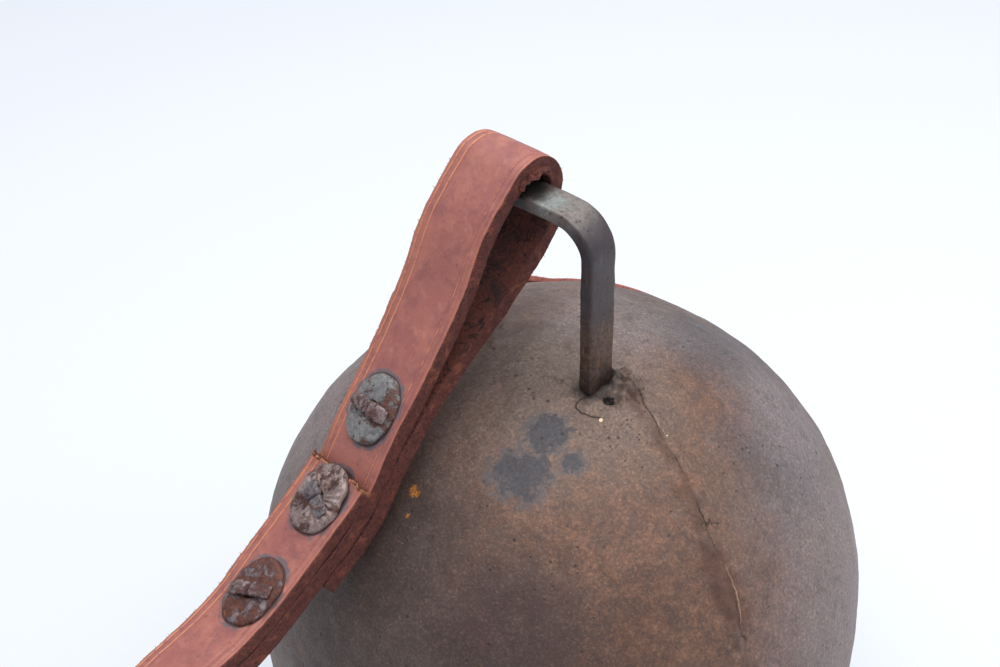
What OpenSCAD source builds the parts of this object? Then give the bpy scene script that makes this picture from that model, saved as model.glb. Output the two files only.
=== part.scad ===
// Hand-forged cattle bell with an iron bail and a riveted leather collar strap.
// Frame: +Z up, the bell stands on its mouth at z = 0, origin on the bell's axis.
// X runs along the bail; the front collar strap falls towards -Y, the back strap towards +Y.

/* [Bell] */
// Largest radius of the bell, at the belly
belly_r = 111; // [105:1:115]
// Height of the belly above the mouth
belly_z = 98; // [92:1:104]
// Height of the crown above the belly
crown_h = 112; // [108:1:114]
// Outer radius of the mouth
mouth_r = 83; // [78:1:88]
// Thickness of the sheet iron
wall = 2.5; // [2:0.1:3]
// Angle of the seam plane from the bail's plane, degrees
seam_angle = -13; // [-18:1:-8]

/* [Bail] */
// Outer length of the bail between its legs
bail_len = 63.6; // [62:0.2:66]
// Width of the flat bar, across the bail
bar_w = 12; // [11:0.5:12.5]
// Thickness of the flat bar
bar_t = 5; // [4.5:0.1:5.4]
// Outer radius of the bail's two bends
bend_r = 14.3; // [13:0.1:15]
// Height of the crossbar's top above the mouth
bail_top = 272; // [271:0.5:274]
// The bail's middle, off the bell's axis, along X
bail_x = -7; // [-8:0.5:-6]
// The bail's middle, off the bell's axis, along Y
bail_y = -7; // [-8:0.5:-6]

/* [Leather] */
// Width of every strap
strap_w = 26; // [24:0.5:27]
// Thickness of the strap that wraps the crossbar
hanger_t = 6; // [5.5:0.1:6]
// Thickness of the strap riveted on top of it
top_t = 5; // [4.5:0.1:5]
// Thickness of the back strap
back_t = 3.2; // [3:0.1:3.6]
// Middle of the front strap, along X
strap_x = -17; // [-17.5:0.1:-16.5]

/* [Rivets] */
// Length of a clench washer, along the strap
washer_len = 23; // [20:1:24]
// Width of a clench washer
washer_w = 18; // [16:0.5:19]
// Thickness of a clench washer
washer_t = 1.4; // [1:0.1:1.6]
// Radius of a split rivet's shank
shank_r = 2; // [1.8:0.1:2.2]
// Length of each clenched rivet leg
leg_len = 7.8; // [7:0.1:8.4]

/* [Buckle] */
// Inner width of the buckle frame
buckle_in = 29; // [28:0.5:32]
// Length of the buckle, from heel bar to front bar
buckle_len = 38; // [34:1:42]
// Radius of the buckle's wire
buckle_r = 2.3; // [2.1:0.1:2.4]

/* [Clapper] */
// Radius of the clapper's ball
ball_r = 18; // [16:0.5:19]
// Height of the ball's centre above the mouth
ball_z = 30; // [28:1:34]
// Radius of the clapper's rod
rod_r = 4; // [3.5:0.1:4.5]

/* [Hidden] */
$fn = 96;

iron = "dimgray";
brazed = "peru";
rust = "sienna";
leather = "indianred";
hide_back = "brown";

gap = 0.3;
arc_steps = 24;

// Points and outlines of the bell

// Fullness of the crown's shoulders: 2 is an ellipse
full = 2.1;

// Radius of a surface of the bell at height z, set in by d from the outer one
function bell_r(z, d) =
    z > belly_z
        ? (belly_r - d) * pow(max(0, 1 - pow((z - belly_z) / (crown_h - d), full)), 1 / full)
        : (belly_r - d) - (belly_r - mouth_r) * pow((belly_z - z) / belly_z, 2);
// Height of the crown's surface over a point
function crown_z(x, y) =
    belly_z + crown_h * pow(max(0, 1 - pow(norm([x, y]) / belly_r, full)), 1 / full);
// Distance from the crown's centre to its surface, at an angle from the top
function crown_reach(a) =
    pow(pow(sin(a) / belly_r, full) + pow(cos(a) / crown_h, full), -1 / full);

lower_steps = 10;
function profile(d) = concat(
    [for (i = [0 : lower_steps]) let (z = belly_z * i / lower_steps) [bell_r(z, d), z]],
    [for (i = [1 : arc_steps]) let (a = 90 * i / arc_steps)
        [(belly_r - d) * pow(cos(a), 2 / full), belly_z + (crown_h - d) * pow(sin(a), 2 / full)]]);

module bell_solid(d) {
    rotate_extrude($fn = 128) polygon(concat([[0, 0]], profile(d)));
}
module bell_wall() {
    difference() {
        bell_solid(0);
        bell_solid(wall);
    }
}
// Half space on one side of the seam plane: side is -1 for the front, 1 for the back
module seam_half(side) {
    big = 2 * belly_r;
    rotate([0, 0, seam_angle])
        translate([-big, side > 0 ? 0 : -big, -1]) cube([2 * big, big, 3 * belly_z]);
}

// The bail: a flat bar with two round bends, drawn in its own plane

leg_out = bail_len / 2;
leg_z_end = 183;
bar_z = 189;
bar_thick = 4;
bend_z = bail_top - bend_r;
module bail_outline() {
    bend_x = leg_out - bend_r;
    r_in = bend_r - bar_t;
    difference() {
        union() {
            translate([-leg_out, leg_z_end]) square([2 * leg_out, bend_z - leg_z_end]);
            translate([-bend_x, bend_z]) square([2 * bend_x, bend_r]);
            for (s = [-1, 1]) translate([s * bend_x, bend_z]) circle(bend_r);
        }
        translate([bar_t - leg_out, leg_z_end - 1])
            square([2 * (leg_out - bar_t), bend_z - leg_z_end + 1]);
        translate([-bend_x, bend_z - 0.01]) square([2 * bend_x, r_in + 0.01]);
        for (s = [-1, 1]) translate([s * bend_x, bend_z]) circle(r_in);
    }
}
module bail() color(iron) {
    translate([bail_x, bail_y + bar_w / 2, 0]) rotate([90, 0, 0])
        linear_extrude(bar_w) bail_outline();
}
// The two legs alone, as straight bars, to cut their slots
module bail_legs() {
    for (s = [-1, 1])
        translate([bail_x + s * (leg_out - bar_t / 2), bail_y, (leg_z_end + 220) / 2])
            cube([bar_t, bar_w, 220 - leg_z_end], center = true);
}

// Bell body

module bell_front_shell() color(iron) difference() {
    intersection() { bell_wall(); seam_half(-1); }
    bail_legs();
}
module bell_back_shell() color(iron) difference() {
    intersection() { bell_wall(); seam_half(1); }
    bail_legs();
}
// Raised run of braze over the lap of the two shells, from beside a bail foot to the rim
seam_w = 9;
seam_proud = 0.9;
module side_seam(side, start) color(brazed) difference() {
    intersection() {
        bell_solid(-seam_proud);
        rotate([0, 0, seam_angle])
            translate([side > 0 ? start : -belly_r - 5, -seam_w / 2, 2])
                cube([belly_r + 5 - start, seam_w, 210]);
    }
    bell_solid(0);
}
module side_seam_right() side_seam(1, 40);
module side_seam_left() side_seam(-1, 56);

// Braze round the foot of a bail leg: a wide fillet on the right, and a narrow bead on the left,
// where the back strap's slot leaves no room for more
foot_depth = 6;
fillet_r = 13;
fillet_h = 3.2;
bead_grow = 1.7;
bead_h = 2;
module at_foot(side) {
    x = bail_x + side * (leg_out - bar_t / 2);
    translate([x, bail_y, crown_z(x, bail_y) - foot_depth]) children();
}
module foot_braze_right() color(brazed) difference() {
    at_foot(1) cylinder(h = foot_depth + fillet_h, r1 = fillet_r, r2 = 0.6 * fillet_r);
    bell_solid(0);
    bail_legs();
}
module foot_braze_left() color(brazed) difference() {
    at_foot(-1) linear_extrude(foot_depth + bead_h)
        offset(r = bead_grow) square([bar_t, bar_w], center = true);
    bell_solid(0);
    bail_legs();
}

// Bar inside the crown: the bail's legs pass through it and are peened over
module crown_bar() color(iron) difference() {
    union() {
        translate([bail_x - 40, bail_y - 9, bar_z]) cube([76, 18, bar_thick]);
        for (s = [-1, 1])
            translate([bail_x + s * (leg_out - bar_t / 2), bail_y, leg_z_end - 0.5])
                cylinder(h = bar_z - leg_z_end + 0.5, r1 = 6.5, r2 = 8);
    }
    bail_legs();
}

// Clapper: U staple under the crown bar, a ring link, and a rod with an eye and a ball

staple_wire = 2.5;
staple_r = 8;
staple_z = 166;
link_wire = 2;
link_r = 8.5;
eye_wire = 2.2;
eye_r = 7;
link_z = staple_z - link_r + staple_wire + link_wire + gap;
eye_z = link_z - link_r + link_wire + eye_wire + gap - eye_r;
module at_clapper(z) translate([0, bail_y, z]) children();
module ring(r, wire) rotate_extrude($fn = 64) translate([r, 0]) circle(wire, $fn = 32);

module clapper_staple() color(iron) {
    at_clapper(staple_z + staple_r) {
        for (s = [-1, 1])
            translate([s * staple_r, 0, 0])
                cylinder(h = bar_z - staple_z - staple_r, r = staple_wire, $fn = 32);
        rotate([90, 0, 0]) intersection() {
            ring(staple_r, staple_wire);
            translate([-20, -20, -5]) cube([40, 20, 10]);
        }
    }
}
module clapper_link() color(iron)
    at_clapper(link_z) rotate([0, 90, 0]) ring(link_r, link_wire);
module clapper_rod() color(rust) {
    at_clapper(eye_z) rotate([90, 0, 0]) ring(eye_r, eye_wire);
    at_clapper(ball_z + ball_r - 3)
        cylinder(h = eye_z - eye_r - ball_z - ball_r + 3, r = rod_r, $fn = 48);
}
module clapper_ball() color(rust) difference() {
    at_clapper(ball_z) sphere(ball_r);
    at_clapper(ball_z + ball_r - 3) cylinder(h = 10, r = rod_r, $fn = 48);
}

// Swept straps. A station is [point, roll]; roll lifts the +X edge, in degrees.

function unit(v) = v / norm(v);
function clamp_i(i, n) = min(max(i, 0), n - 1);
// Catmull-Rom value between list entries
function spline(p, i, t) = let (n = len(p),
        a = p[clamp_i(i - 1, n)], b = p[i], c = p[clamp_i(i + 1, n)], d = p[clamp_i(i + 2, n)])
    0.5 * (2 * b + (c - a) * t + (2 * a - 5 * b + 4 * c - d) * t * t
           + (3 * b - a - 3 * c + d) * t * t * t);
function smooth(p, k) = concat(
    [for (i = [0 : len(p) - 2], j = [0 : k - 1]) spline(p, i, j / k)], [p[len(p) - 1]]);
function tangent(p, i) = unit(p[clamp_i(i + 1, len(p))] - p[clamp_i(i - 1, len(p))]);
// Width and outward directions from a tangent, a reference width direction and a roll
function frame_of(t, w_ref, roll) = let (
        w0 = unit(w_ref - (w_ref * t) * t), n0 = cross(w0, t),
        w = cos(roll) * w0 + sin(roll) * n0)
    [w, cross(w, t)];
// Closed band through rings of four corners each
module band(rings) {
    n = len(rings);
    points = [for (ring = rings, corner = ring) corner];
    sides = [for (i = [0 : n - 2], j = [0 : 3]) let (k = (j + 1) % 4)
        [4 * i + j, 4 * i + k, 4 * (i + 1) + k, 4 * (i + 1) + j]];
    polyhedron(points, concat(sides, [[3, 2, 1, 0]], [[for (j = [0 : 3]) 4 * (n - 1) + j]]),
               convexity = 8);
}
function ring_at(p, f, w, t) = [
    p - f[0] * w / 2 - f[1] * t / 2, p + f[0] * w / 2 - f[1] * t / 2,
    p + f[0] * w / 2 + f[1] * t / 2, p - f[0] * w / 2 + f[1] * t / 2];

// Front collar: [y, z, roll, x shift] along its outer face, from the buckle end to the crossbar
face = [[-335, 11.5, 0, 0], [-316, 12.5, 0, 0], [-296, 25, 0, 0], [-277, 52, 0, 0],
        [-258, 86, 1, 0], [-236, 118, 3, 0], [-211, 144, 6, 0], [-184, 161, 9, 0],
        [-158, 168, 11, 0], [-133, 173, 8, 0], [-112, 183.5, 5, 0], [-92, 197, 4, 0.8],
        [-73, 213, 4, 1.8], [-56, 231, 2, 1.6], [-41, 249, 0, 1.2], [-30, 266, 0, 1]];
// Back ply: [y, z] along its middle, from the ring round the crossbar down to its cut end
back_ply = [[3, 257], [-5, 248], [-15, 240.5], [-25, 233.5], [-36, 227], [-48, 219.5]];
// Index in face of the back ply's last full step, of the cut end and of the top strap's end
ply_join = 12;
ply_end = 10;
top_end = 11;

function face_point(i) = [strap_x + face[i][3], face[i][0], face[i][1]];
// The strap round the crossbar and its back ply keep the shift of the face's top
loop_x = strap_x + face[len(face) - 1][3];
face_points = [for (i = [0 : len(face) - 1]) face_point(i)];
function face_frame(i) = frame_of(tangent(face_points, i), [1, 0, 0], face[i][2]);
function below_face(i, d) = face_points[i] - face_frame(i)[1] * d;
// Depth of the under strap's middle below the visible face: it dips under the top strap
function under_depth(i) =
    i > top_end ? hanger_t / 2 : top_t + gap / 3 + hanger_t / 2;

axis_z = bail_top - bar_t / 2;
ring_r = 10.4;
ring_points = [for (a = [135 : -32 : -25])
    [loop_x, bail_y + ring_r * cos(a), axis_z + ring_r * sin(a)]];
ply_gap = 0.7;
ply_depth_1 = hanger_t * 1.5 + ply_gap;
ply_depth_2 = ply_depth_1 + top_t + gap / 3;
under_points = concat(
    [for (i = [0 : len(face) - 1]) below_face(i, under_depth(i))],
    ring_points,
    [for (q = back_ply) [loop_x, q[0], q[1]]],
    [below_face(ply_join, ply_depth_1), below_face(top_end, ply_depth_2),
     below_face(ply_end, ply_depth_2)]);
under_roll = concat([for (q = face) q[2]], [for (q = ring_points) 0],
                    [for (q = back_ply) 0],
                    [for (i = [ply_join : -1 : ply_end]) -face[i][2]]);

module strap_sweep(points, rolls, w, t, k) {
    p = smooth(points, k);
    r = smooth(rolls, k);
    band([for (i = [0 : len(p) - 1]) ring_at(p[i], frame_of(tangent(p, i), [1, 0, 0], r[i]), w, t)]);
}
module under_strap() color(hide_back) difference() {
    strap_sweep(under_points, under_roll, strap_w, hanger_t, 3);
    for (s = [1 : 3]) rivet_hole(s);
}

// The top strap: over the under strap, and round the buckle's heel bar at its far end
heel_y = -385;
heel_z = 7.9;
fold_r = buckle_r + gap + top_t / 2;
top_tail = concat(
    [[strap_x, -350, heel_z - fold_r], [strap_x, -362, heel_z - fold_r],
     [strap_x, -374, heel_z - fold_r]],
    [for (a = [270 : -45 : 90]) [strap_x, heel_y + fold_r * cos(a), heel_z + fold_r * sin(a)]],
    [[strap_x, -372, heel_z + fold_r - 0.6], [strap_x, -358, heel_z + fold_r - 2.4]]);
top_points = concat(top_tail,
    [for (i = [0 : top_end]) below_face(i, top_t / 2)],
    [below_face(top_end, top_t / 2) + tangent(face_points, top_end) * 6.5]);
top_roll = concat([for (q = top_tail) 0], [for (i = [0 : top_end]) face[i][2]], [face[top_end][2]]);
slot_w = 7;
slot_len = 28;
module top_strap() color(leather) difference() {
    strap_sweep(top_points, top_roll, strap_w, top_t, 3);
    for (s = [2 : 3]) rivet_hole(s);
    chape_holes();
    // opening for the tongue where the strap folds round the heel bar
    translate([strap_x - slot_w / 2, heel_y - 12, -1]) cube([slot_w, slot_len, 20]);
}

// Rivets: each stands square to the visible face, local +Y up the strap, +Z outwards
// [y, z, slope of the strap, roll, stack depth, turn of the clenched legs, x shift]
rivets = [[-69, 217, 43.5, 4, 12.2, 8, 2.3], [-93.5, 195.9, 36.5, 5, 17.3, -32, 1.8],
          [-122.5, 177.8, 26, 6, 11.2, 20, 1.9]];
module at_rivet(s, lift = 0) {
    q = rivets[s - 1];
    translate([strap_x + q[6], q[0], q[1]]) rotate([q[2], 0, 0]) rotate([0, -q[3], 0])
        translate([0, 0, lift]) children();
}
face_clear = 0.5;
module rivet_hole(s) at_rivet(s, -30) cylinder(h = 60, r = shank_r, $fn = 32);
module washer(s) color(rust) at_rivet(s, face_clear) difference() {
    linear_extrude(washer_t) {
        square([washer_w, washer_len - washer_w], center = true);
        for (e = [-1, 1]) translate([0, e * (washer_len - washer_w) / 2]) circle(washer_w / 2);
    }
    translate([0, 0, -1]) cylinder(h = 4, r = shank_r, $fn = 32);
}
module washer_1() washer(1);
module washer_2() washer(2);
module washer_3() washer(3);
head_r = 5.5;
head_t = 1.5;
leg_w = 3.8;
leg_t = 1.3;
module split_rivet(s) color(rust) {
    depth = rivets[s - 1][4];
    top = face_clear + washer_t;
    at_rivet(s, -depth) cylinder(h = depth + top + leg_t, r = shank_r, $fn = 32);
    at_rivet(s, -depth - head_t) cylinder(h = head_t, r = head_r, $fn = 48);
    at_rivet(s, top) rotate([0, 0, rivets[s - 1][5]])
        translate([-leg_len, -leg_w / 2, 0]) cube([2 * leg_len, leg_w, leg_t]);
}
module split_rivet_1() split_rivet(1);
module split_rivet_2() split_rivet(2);
module split_rivet_3() split_rivet(3);

// Two plain rivets that close the fold round the heel bar
chape_y = -356;
chape_x = 7;
module chape_holes() for (s = [-1, 1])
    translate([strap_x + s * chape_x, chape_y, -1]) cylinder(h = 24, r = 1.6, $fn = 32);
module chape_rivets() color(brazed) for (s = [-1, 1])
    translate([strap_x + s * chape_x, chape_y, 0]) {
        translate([0, 0, 0.9]) cylinder(h = 12.6, r = 1.6, $fn = 32);
        translate([0, 0, 13.4]) cylinder(h = 1.2, r = 3.4, $fn = 48);
    }

// Leather keeper loop round both plies
keeper_i = 4;
keeper_w = 12;
keeper_t = 2.2;
module strap_keeper() color(leather) {
    p = face_points[keeper_i];
    t = tangent(face_points, keeper_i);
    depth = top_t + hanger_t + gap;
    inner_w = strap_w + 1.2;
    translate(p) rotate([atan2(t[2], t[1]), 0, 0]) rotate([0, -face[keeper_i][2], 0])
        translate([0, keeper_w / 2, 0]) rotate([90, 0, 0]) linear_extrude(keeper_w)
            difference() {
                translate([-inner_w / 2 - keeper_t, -depth - 0.9 - keeper_t])
                    square([inner_w + 2 * keeper_t, depth + 2.4 + 2 * keeper_t]);
                translate([-inner_w / 2, -depth - 0.9]) square([inner_w, depth + 2.4]);
            }
}

// Buckle, in its own plane: heel bar on the local X axis, front bar at -Y
buckle_drop = 5.8;
module at_buckle() translate([strap_x, heel_y, heel_z]) rotate([buckle_drop, 0, 0]) children();
module bar_x(len, r) rotate([0, 90, 0]) cylinder(h = len, r = r, center = true, $fn = 48);
module buckle_frame() color(iron) at_buckle() {
    half = buckle_in / 2 + buckle_r;
    bar_x(2 * half, buckle_r);
    translate([0, -buckle_len, 0]) bar_x(2 * half, buckle_r);
    for (s = [-1, 1]) translate([s * half, 0, 0]) {
        rotate([90, 0, 0]) cylinder(h = buckle_len, r = buckle_r, $fn = 48);
        sphere(buckle_r, $fn = 48);
        translate([0, -buckle_len, 0]) sphere(buckle_r, $fn = 48);
    }
}
roller_r = 3.7;
module buckle_roller() color(iron) at_buckle() translate([0, -buckle_len, 0]) difference() {
    bar_x(buckle_in - 3, roller_r);
    bar_x(buckle_in, buckle_r + 0.08);
}
tongue_r = 1.8;
eye_in = buckle_r + 0.08;
module buckle_tongue() color(iron) at_buckle() {
    difference() {
        bar_x(4.4, eye_in + 2);
        bar_x(6, eye_in);
    }
    slope = atan2(roller_r + tongue_r + 0.25, buckle_len);
    rotate([-slope, 0, 0]) {
        translate([0, -eye_in - 1, 0]) rotate([90, 0, 0])
            cylinder(h = buckle_len + 2.5 - eye_in, r = tongue_r, $fn = 32);
        translate([0, -buckle_len - 3.5, 0]) sphere(tongue_r, $fn = 32);
    }
}

// Back strap: slotted over the bail's left leg, over the back shoulder and down to the ground
// On the crown: [azimuth, angle from the crown's top]; off it: [x, y, z]
on_crown = [[208, 28], [186, 23.5], [170, 28.5], [159, 38], [150.5, 45.8], [141, 52.6], [134.3, 55.2],
            [127, 55.2], [119, 56], [112.6, 57.6], [107.8, 61.5], [106, 68], [107, 77],
            [108.5, 86.5]];
off_crown = [[-37.5, 111.5, 72], [-38.5, 113, 50], [-40, 116, 26], [-47, 128, 7],
             [-59, 146, 1.9], [-74, 167, 1.9], [-89, 188, 1.9], [-104, 209, 1.9]];
function lie_r(a) = crown_reach(a) + 1.5 + back_t / 2;
back_points = concat(
    [for (q = on_crown) lie_r(q[1]) * [sin(q[1]) * cos(q[0]), sin(q[1]) * sin(q[0]), cos(q[1])]
        + [0, 0, belly_z]],
    off_crown);
// Outward reference of the back strap: away from the crown's centre, upwards on the ground
function back_ref(p) = p[2] > belly_z ? p - [0, 0, belly_z] : [p[0], p[1], 8 * (belly_z - p[2])];
module back_sweep(k) {
    p = smooth(back_points, k);
    band([for (i = [0 : len(p) - 1]) let (t = tangent(p, i))
        ring_at(p[i], frame_of(t, cross(t, back_ref(p[i])), 0), strap_w, back_t)]);
}
tip = off_crown[len(off_crown) - 1];
run = unit(tip - off_crown[len(off_crown) - 2]);
leg_slot = [9, 31];
module back_strap() color(leather) difference() {
    union() {
        back_sweep(3);
        translate([tip[0], tip[1], tip[2] - back_t / 2]) cylinder(h = back_t, r = strap_w / 2);
    }
    translate([bail_x - leg_out + bar_t / 2, bail_y + 6.5, 205])
        cube([leg_slot[0], leg_slot[1], 40], center = true);
    for (i = [0 : 4]) translate(tip - run * (6 + 13 * i))
        cylinder(h = 20, r = 2.3, center = true, $fn = 32);
}

bell_front_shell();
bell_back_shell();
side_seam_right();
side_seam_left();
bail();
foot_braze_right();
foot_braze_left();
crown_bar();
clapper_staple();
clapper_link();
clapper_rod();
clapper_ball();
under_strap();
top_strap();
washer_1();
washer_2();
washer_3();
split_rivet_1();
split_rivet_2();
split_rivet_3();
strap_keeper();
chape_rivets();
buckle_frame();
buckle_tongue();
buckle_roller();
back_strap();
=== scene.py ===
"""The looks of a hand-forged cattle bell: a brazed sheet-iron bell with an iron bail, and the thick
leather collar riveted round it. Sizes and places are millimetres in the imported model's own frame."""

import itertools
import math

import bpy
import numpy as np
from mathutils import Matrix, Vector


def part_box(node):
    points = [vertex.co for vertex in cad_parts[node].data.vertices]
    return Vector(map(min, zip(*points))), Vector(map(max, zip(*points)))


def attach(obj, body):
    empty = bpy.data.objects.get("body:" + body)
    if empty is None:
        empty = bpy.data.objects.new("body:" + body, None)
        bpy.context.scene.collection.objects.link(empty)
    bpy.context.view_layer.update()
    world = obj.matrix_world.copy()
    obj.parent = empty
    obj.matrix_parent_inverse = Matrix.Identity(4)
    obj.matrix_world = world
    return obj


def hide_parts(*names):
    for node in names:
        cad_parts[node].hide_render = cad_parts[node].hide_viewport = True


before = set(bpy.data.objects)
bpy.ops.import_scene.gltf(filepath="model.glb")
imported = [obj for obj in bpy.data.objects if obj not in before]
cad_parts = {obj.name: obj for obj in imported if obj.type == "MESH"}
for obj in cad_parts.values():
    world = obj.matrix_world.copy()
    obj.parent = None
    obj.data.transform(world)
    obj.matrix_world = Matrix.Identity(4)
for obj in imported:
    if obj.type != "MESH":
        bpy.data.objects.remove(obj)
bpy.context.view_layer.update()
MM = 0.001


# Numbers shared by several pieces

BELLY_R, BELLY_Z, CROWN_H, MOUTH_R, WALL = 111.0, 98.0, 112.0, 83.0, 2.5
FULL = 2.1  # fullness of the crown's shoulders: 2 is an ellipse
BAIL_X, BAIL_Y, BAIL_HALF, BAIL_TOP, BAR_W, BAR_T, BEND_R = -7.0, -7.0, 31.8, 272.0, 12.0, 5.0, 14.3
STRAP_X, STRAP_W, HANGER_T, TOP_T, BACK_T = -17.0, 26.0, 6.0, 5.0, 3.2


# Smooth noise, in numpy

GRADIENTS = np.array([g for g in itertools.product((-1, 0, 1), repeat=3) if sum(map(abs, g)) == 2], float)


def noise(points, size, seed=0):
    """Gradient noise from about -1 to 1 at each point; size is the width of its lumps in mm."""
    q = np.asarray(points, float) / size + seed * 19.37 + 7.1
    cell = np.floor(q).astype(np.int64)
    f = q - cell
    fade = f * f * f * (f * (f * 6 - 15) + 10)
    total = np.zeros(len(q))
    for corner in itertools.product((0, 1), repeat=3):
        c = cell + np.array(corner)
        key = (c[:, 0] * 73856093) ^ (c[:, 1] * 19349663) ^ (c[:, 2] * 83492791) ^ (seed * 2654435)
        key = (key ^ (key >> 13)) * 1274126177
        gradient = GRADIENTS[((key ^ (key >> 16)) & 0x7FFFFFFF) % len(GRADIENTS)]
        weight = np.prod(np.where(np.array(corner) == 1, fade, 1 - fade), axis=1)
        total += weight * np.sum(gradient * (f - np.array(corner)), axis=1)
    return total * 1.4


def step(x, low, high):
    """0 below low, 1 above high, and smooth between them."""
    t = np.clip((np.asarray(x, float) - low) / (high - low), 0, 1)
    return t * t * (3 - 2 * t)


def hump(distance, width):
    """1 at no distance, falling to 0 at about twice width."""
    return np.exp(-((distance / width) ** 2))


def line_distance(plan, points):
    """Distance in plan from each point to a line of straight runs."""
    best = np.full(len(plan), 1e9)
    for a, b in zip(points[:-1], points[1:]):
        a, b = np.array(a, float), np.array(b, float)
        t = np.clip(((plan - a) @ (b - a)) / ((b - a) @ (b - a)), 0, 1)[:, None]
        best = np.minimum(best, np.linalg.norm(plan - a - t * (b - a), axis=1))
    return best


# Meshes

def make_piece(name, points, faces, materials, body, replaces=(), marks=None, index=None):
    """A smooth mesh piece from points in mm; marks are named numbers kept on its points."""
    mesh = bpy.data.meshes.new(name)
    mesh.from_pydata((np.asarray(points, float) * MM).tolist(), [], faces)
    for material in materials:
        mesh.materials.append(material)
    if index is not None:
        mesh.polygons.foreach_set("material_index", index)
    for key, values in (marks or {}).items():
        attribute = mesh.attributes.new(key, "FLOAT", "POINT")
        attribute.data.foreach_set("value", np.asarray(values, np.float32))
    mesh.polygons.foreach_set("use_smooth", [True] * len(mesh.polygons))
    mesh.update()
    piece = link(name, mesh)
    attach(piece, body)
    if replaces:
        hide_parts(*replaces)
    return piece


def loft_faces(rings, around, first=0, ends=False):
    """Quads between rings of points, each ring with the same count, and perhaps flat ends."""
    faces = []
    for i in range(rings - 1):
        a, b = first + i * around, first + (i + 1) * around
        for j in range(around):
            k = (j + 1) % around
            faces.append((a + j, a + k, b + k, b + j))
    if ends:
        last = first + rings * around
        faces += [tuple(reversed(range(first, first + around))), tuple(range(last - around, last))]
    return faces


def turned(faces):
    """The same faces, seen from the other side."""
    return [f[::-1] for f in faces]


def joined(faces, last, first, around):
    """Adds the quads that close a loft from its last ring back to its first one."""
    return faces + [(last + j, last + (j + 1) % around, first + (j + 1) % around, first + j)
                    for j in range(around)]


def turns(count):
    """Angles all the way round."""
    return np.linspace(0, 2 * math.pi, count, endpoint=False)


def revolve(profile, around):
    """Rings of points about the Z axis, one for each radius and height."""
    circle = np.column_stack([np.cos(turns(around)), np.sin(turns(around))])
    return np.concatenate([np.column_stack([circle * r, np.full(around, z)]) for r, z in profile])


def squared(values, power):
    """A sine or cosine made fuller, for bars with round edges."""
    return np.sign(values) * np.abs(values) ** power


def shake(points, size, seed):
    """A noisy push for each point, along all three axes."""
    return np.column_stack([noise(points, size, seed + k) for k in range(3)])


def link(name, data):
    """A new object in the scene."""
    made = bpy.data.objects.new(name, data)
    bpy.context.scene.collection.objects.link(made)
    return made


def sharp(piece, angle):
    """Marks edges sharper than angle, in degrees, so that they shade crisply."""
    piece.data.set_sharp_from_angle(angle=math.radians(angle))
    return piece


# Node materials

def colour(r, g, b):
    """A colour as seen on screen, 0 to 255, as the linear colour that shaders use."""
    parts = [c / 255 for c in (r, g, b)]
    return tuple(c / 12.92 if c <= 0.04045 else ((c + 0.055) / 1.055) ** 2.4 for c in parts) + (1.0,)


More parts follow.
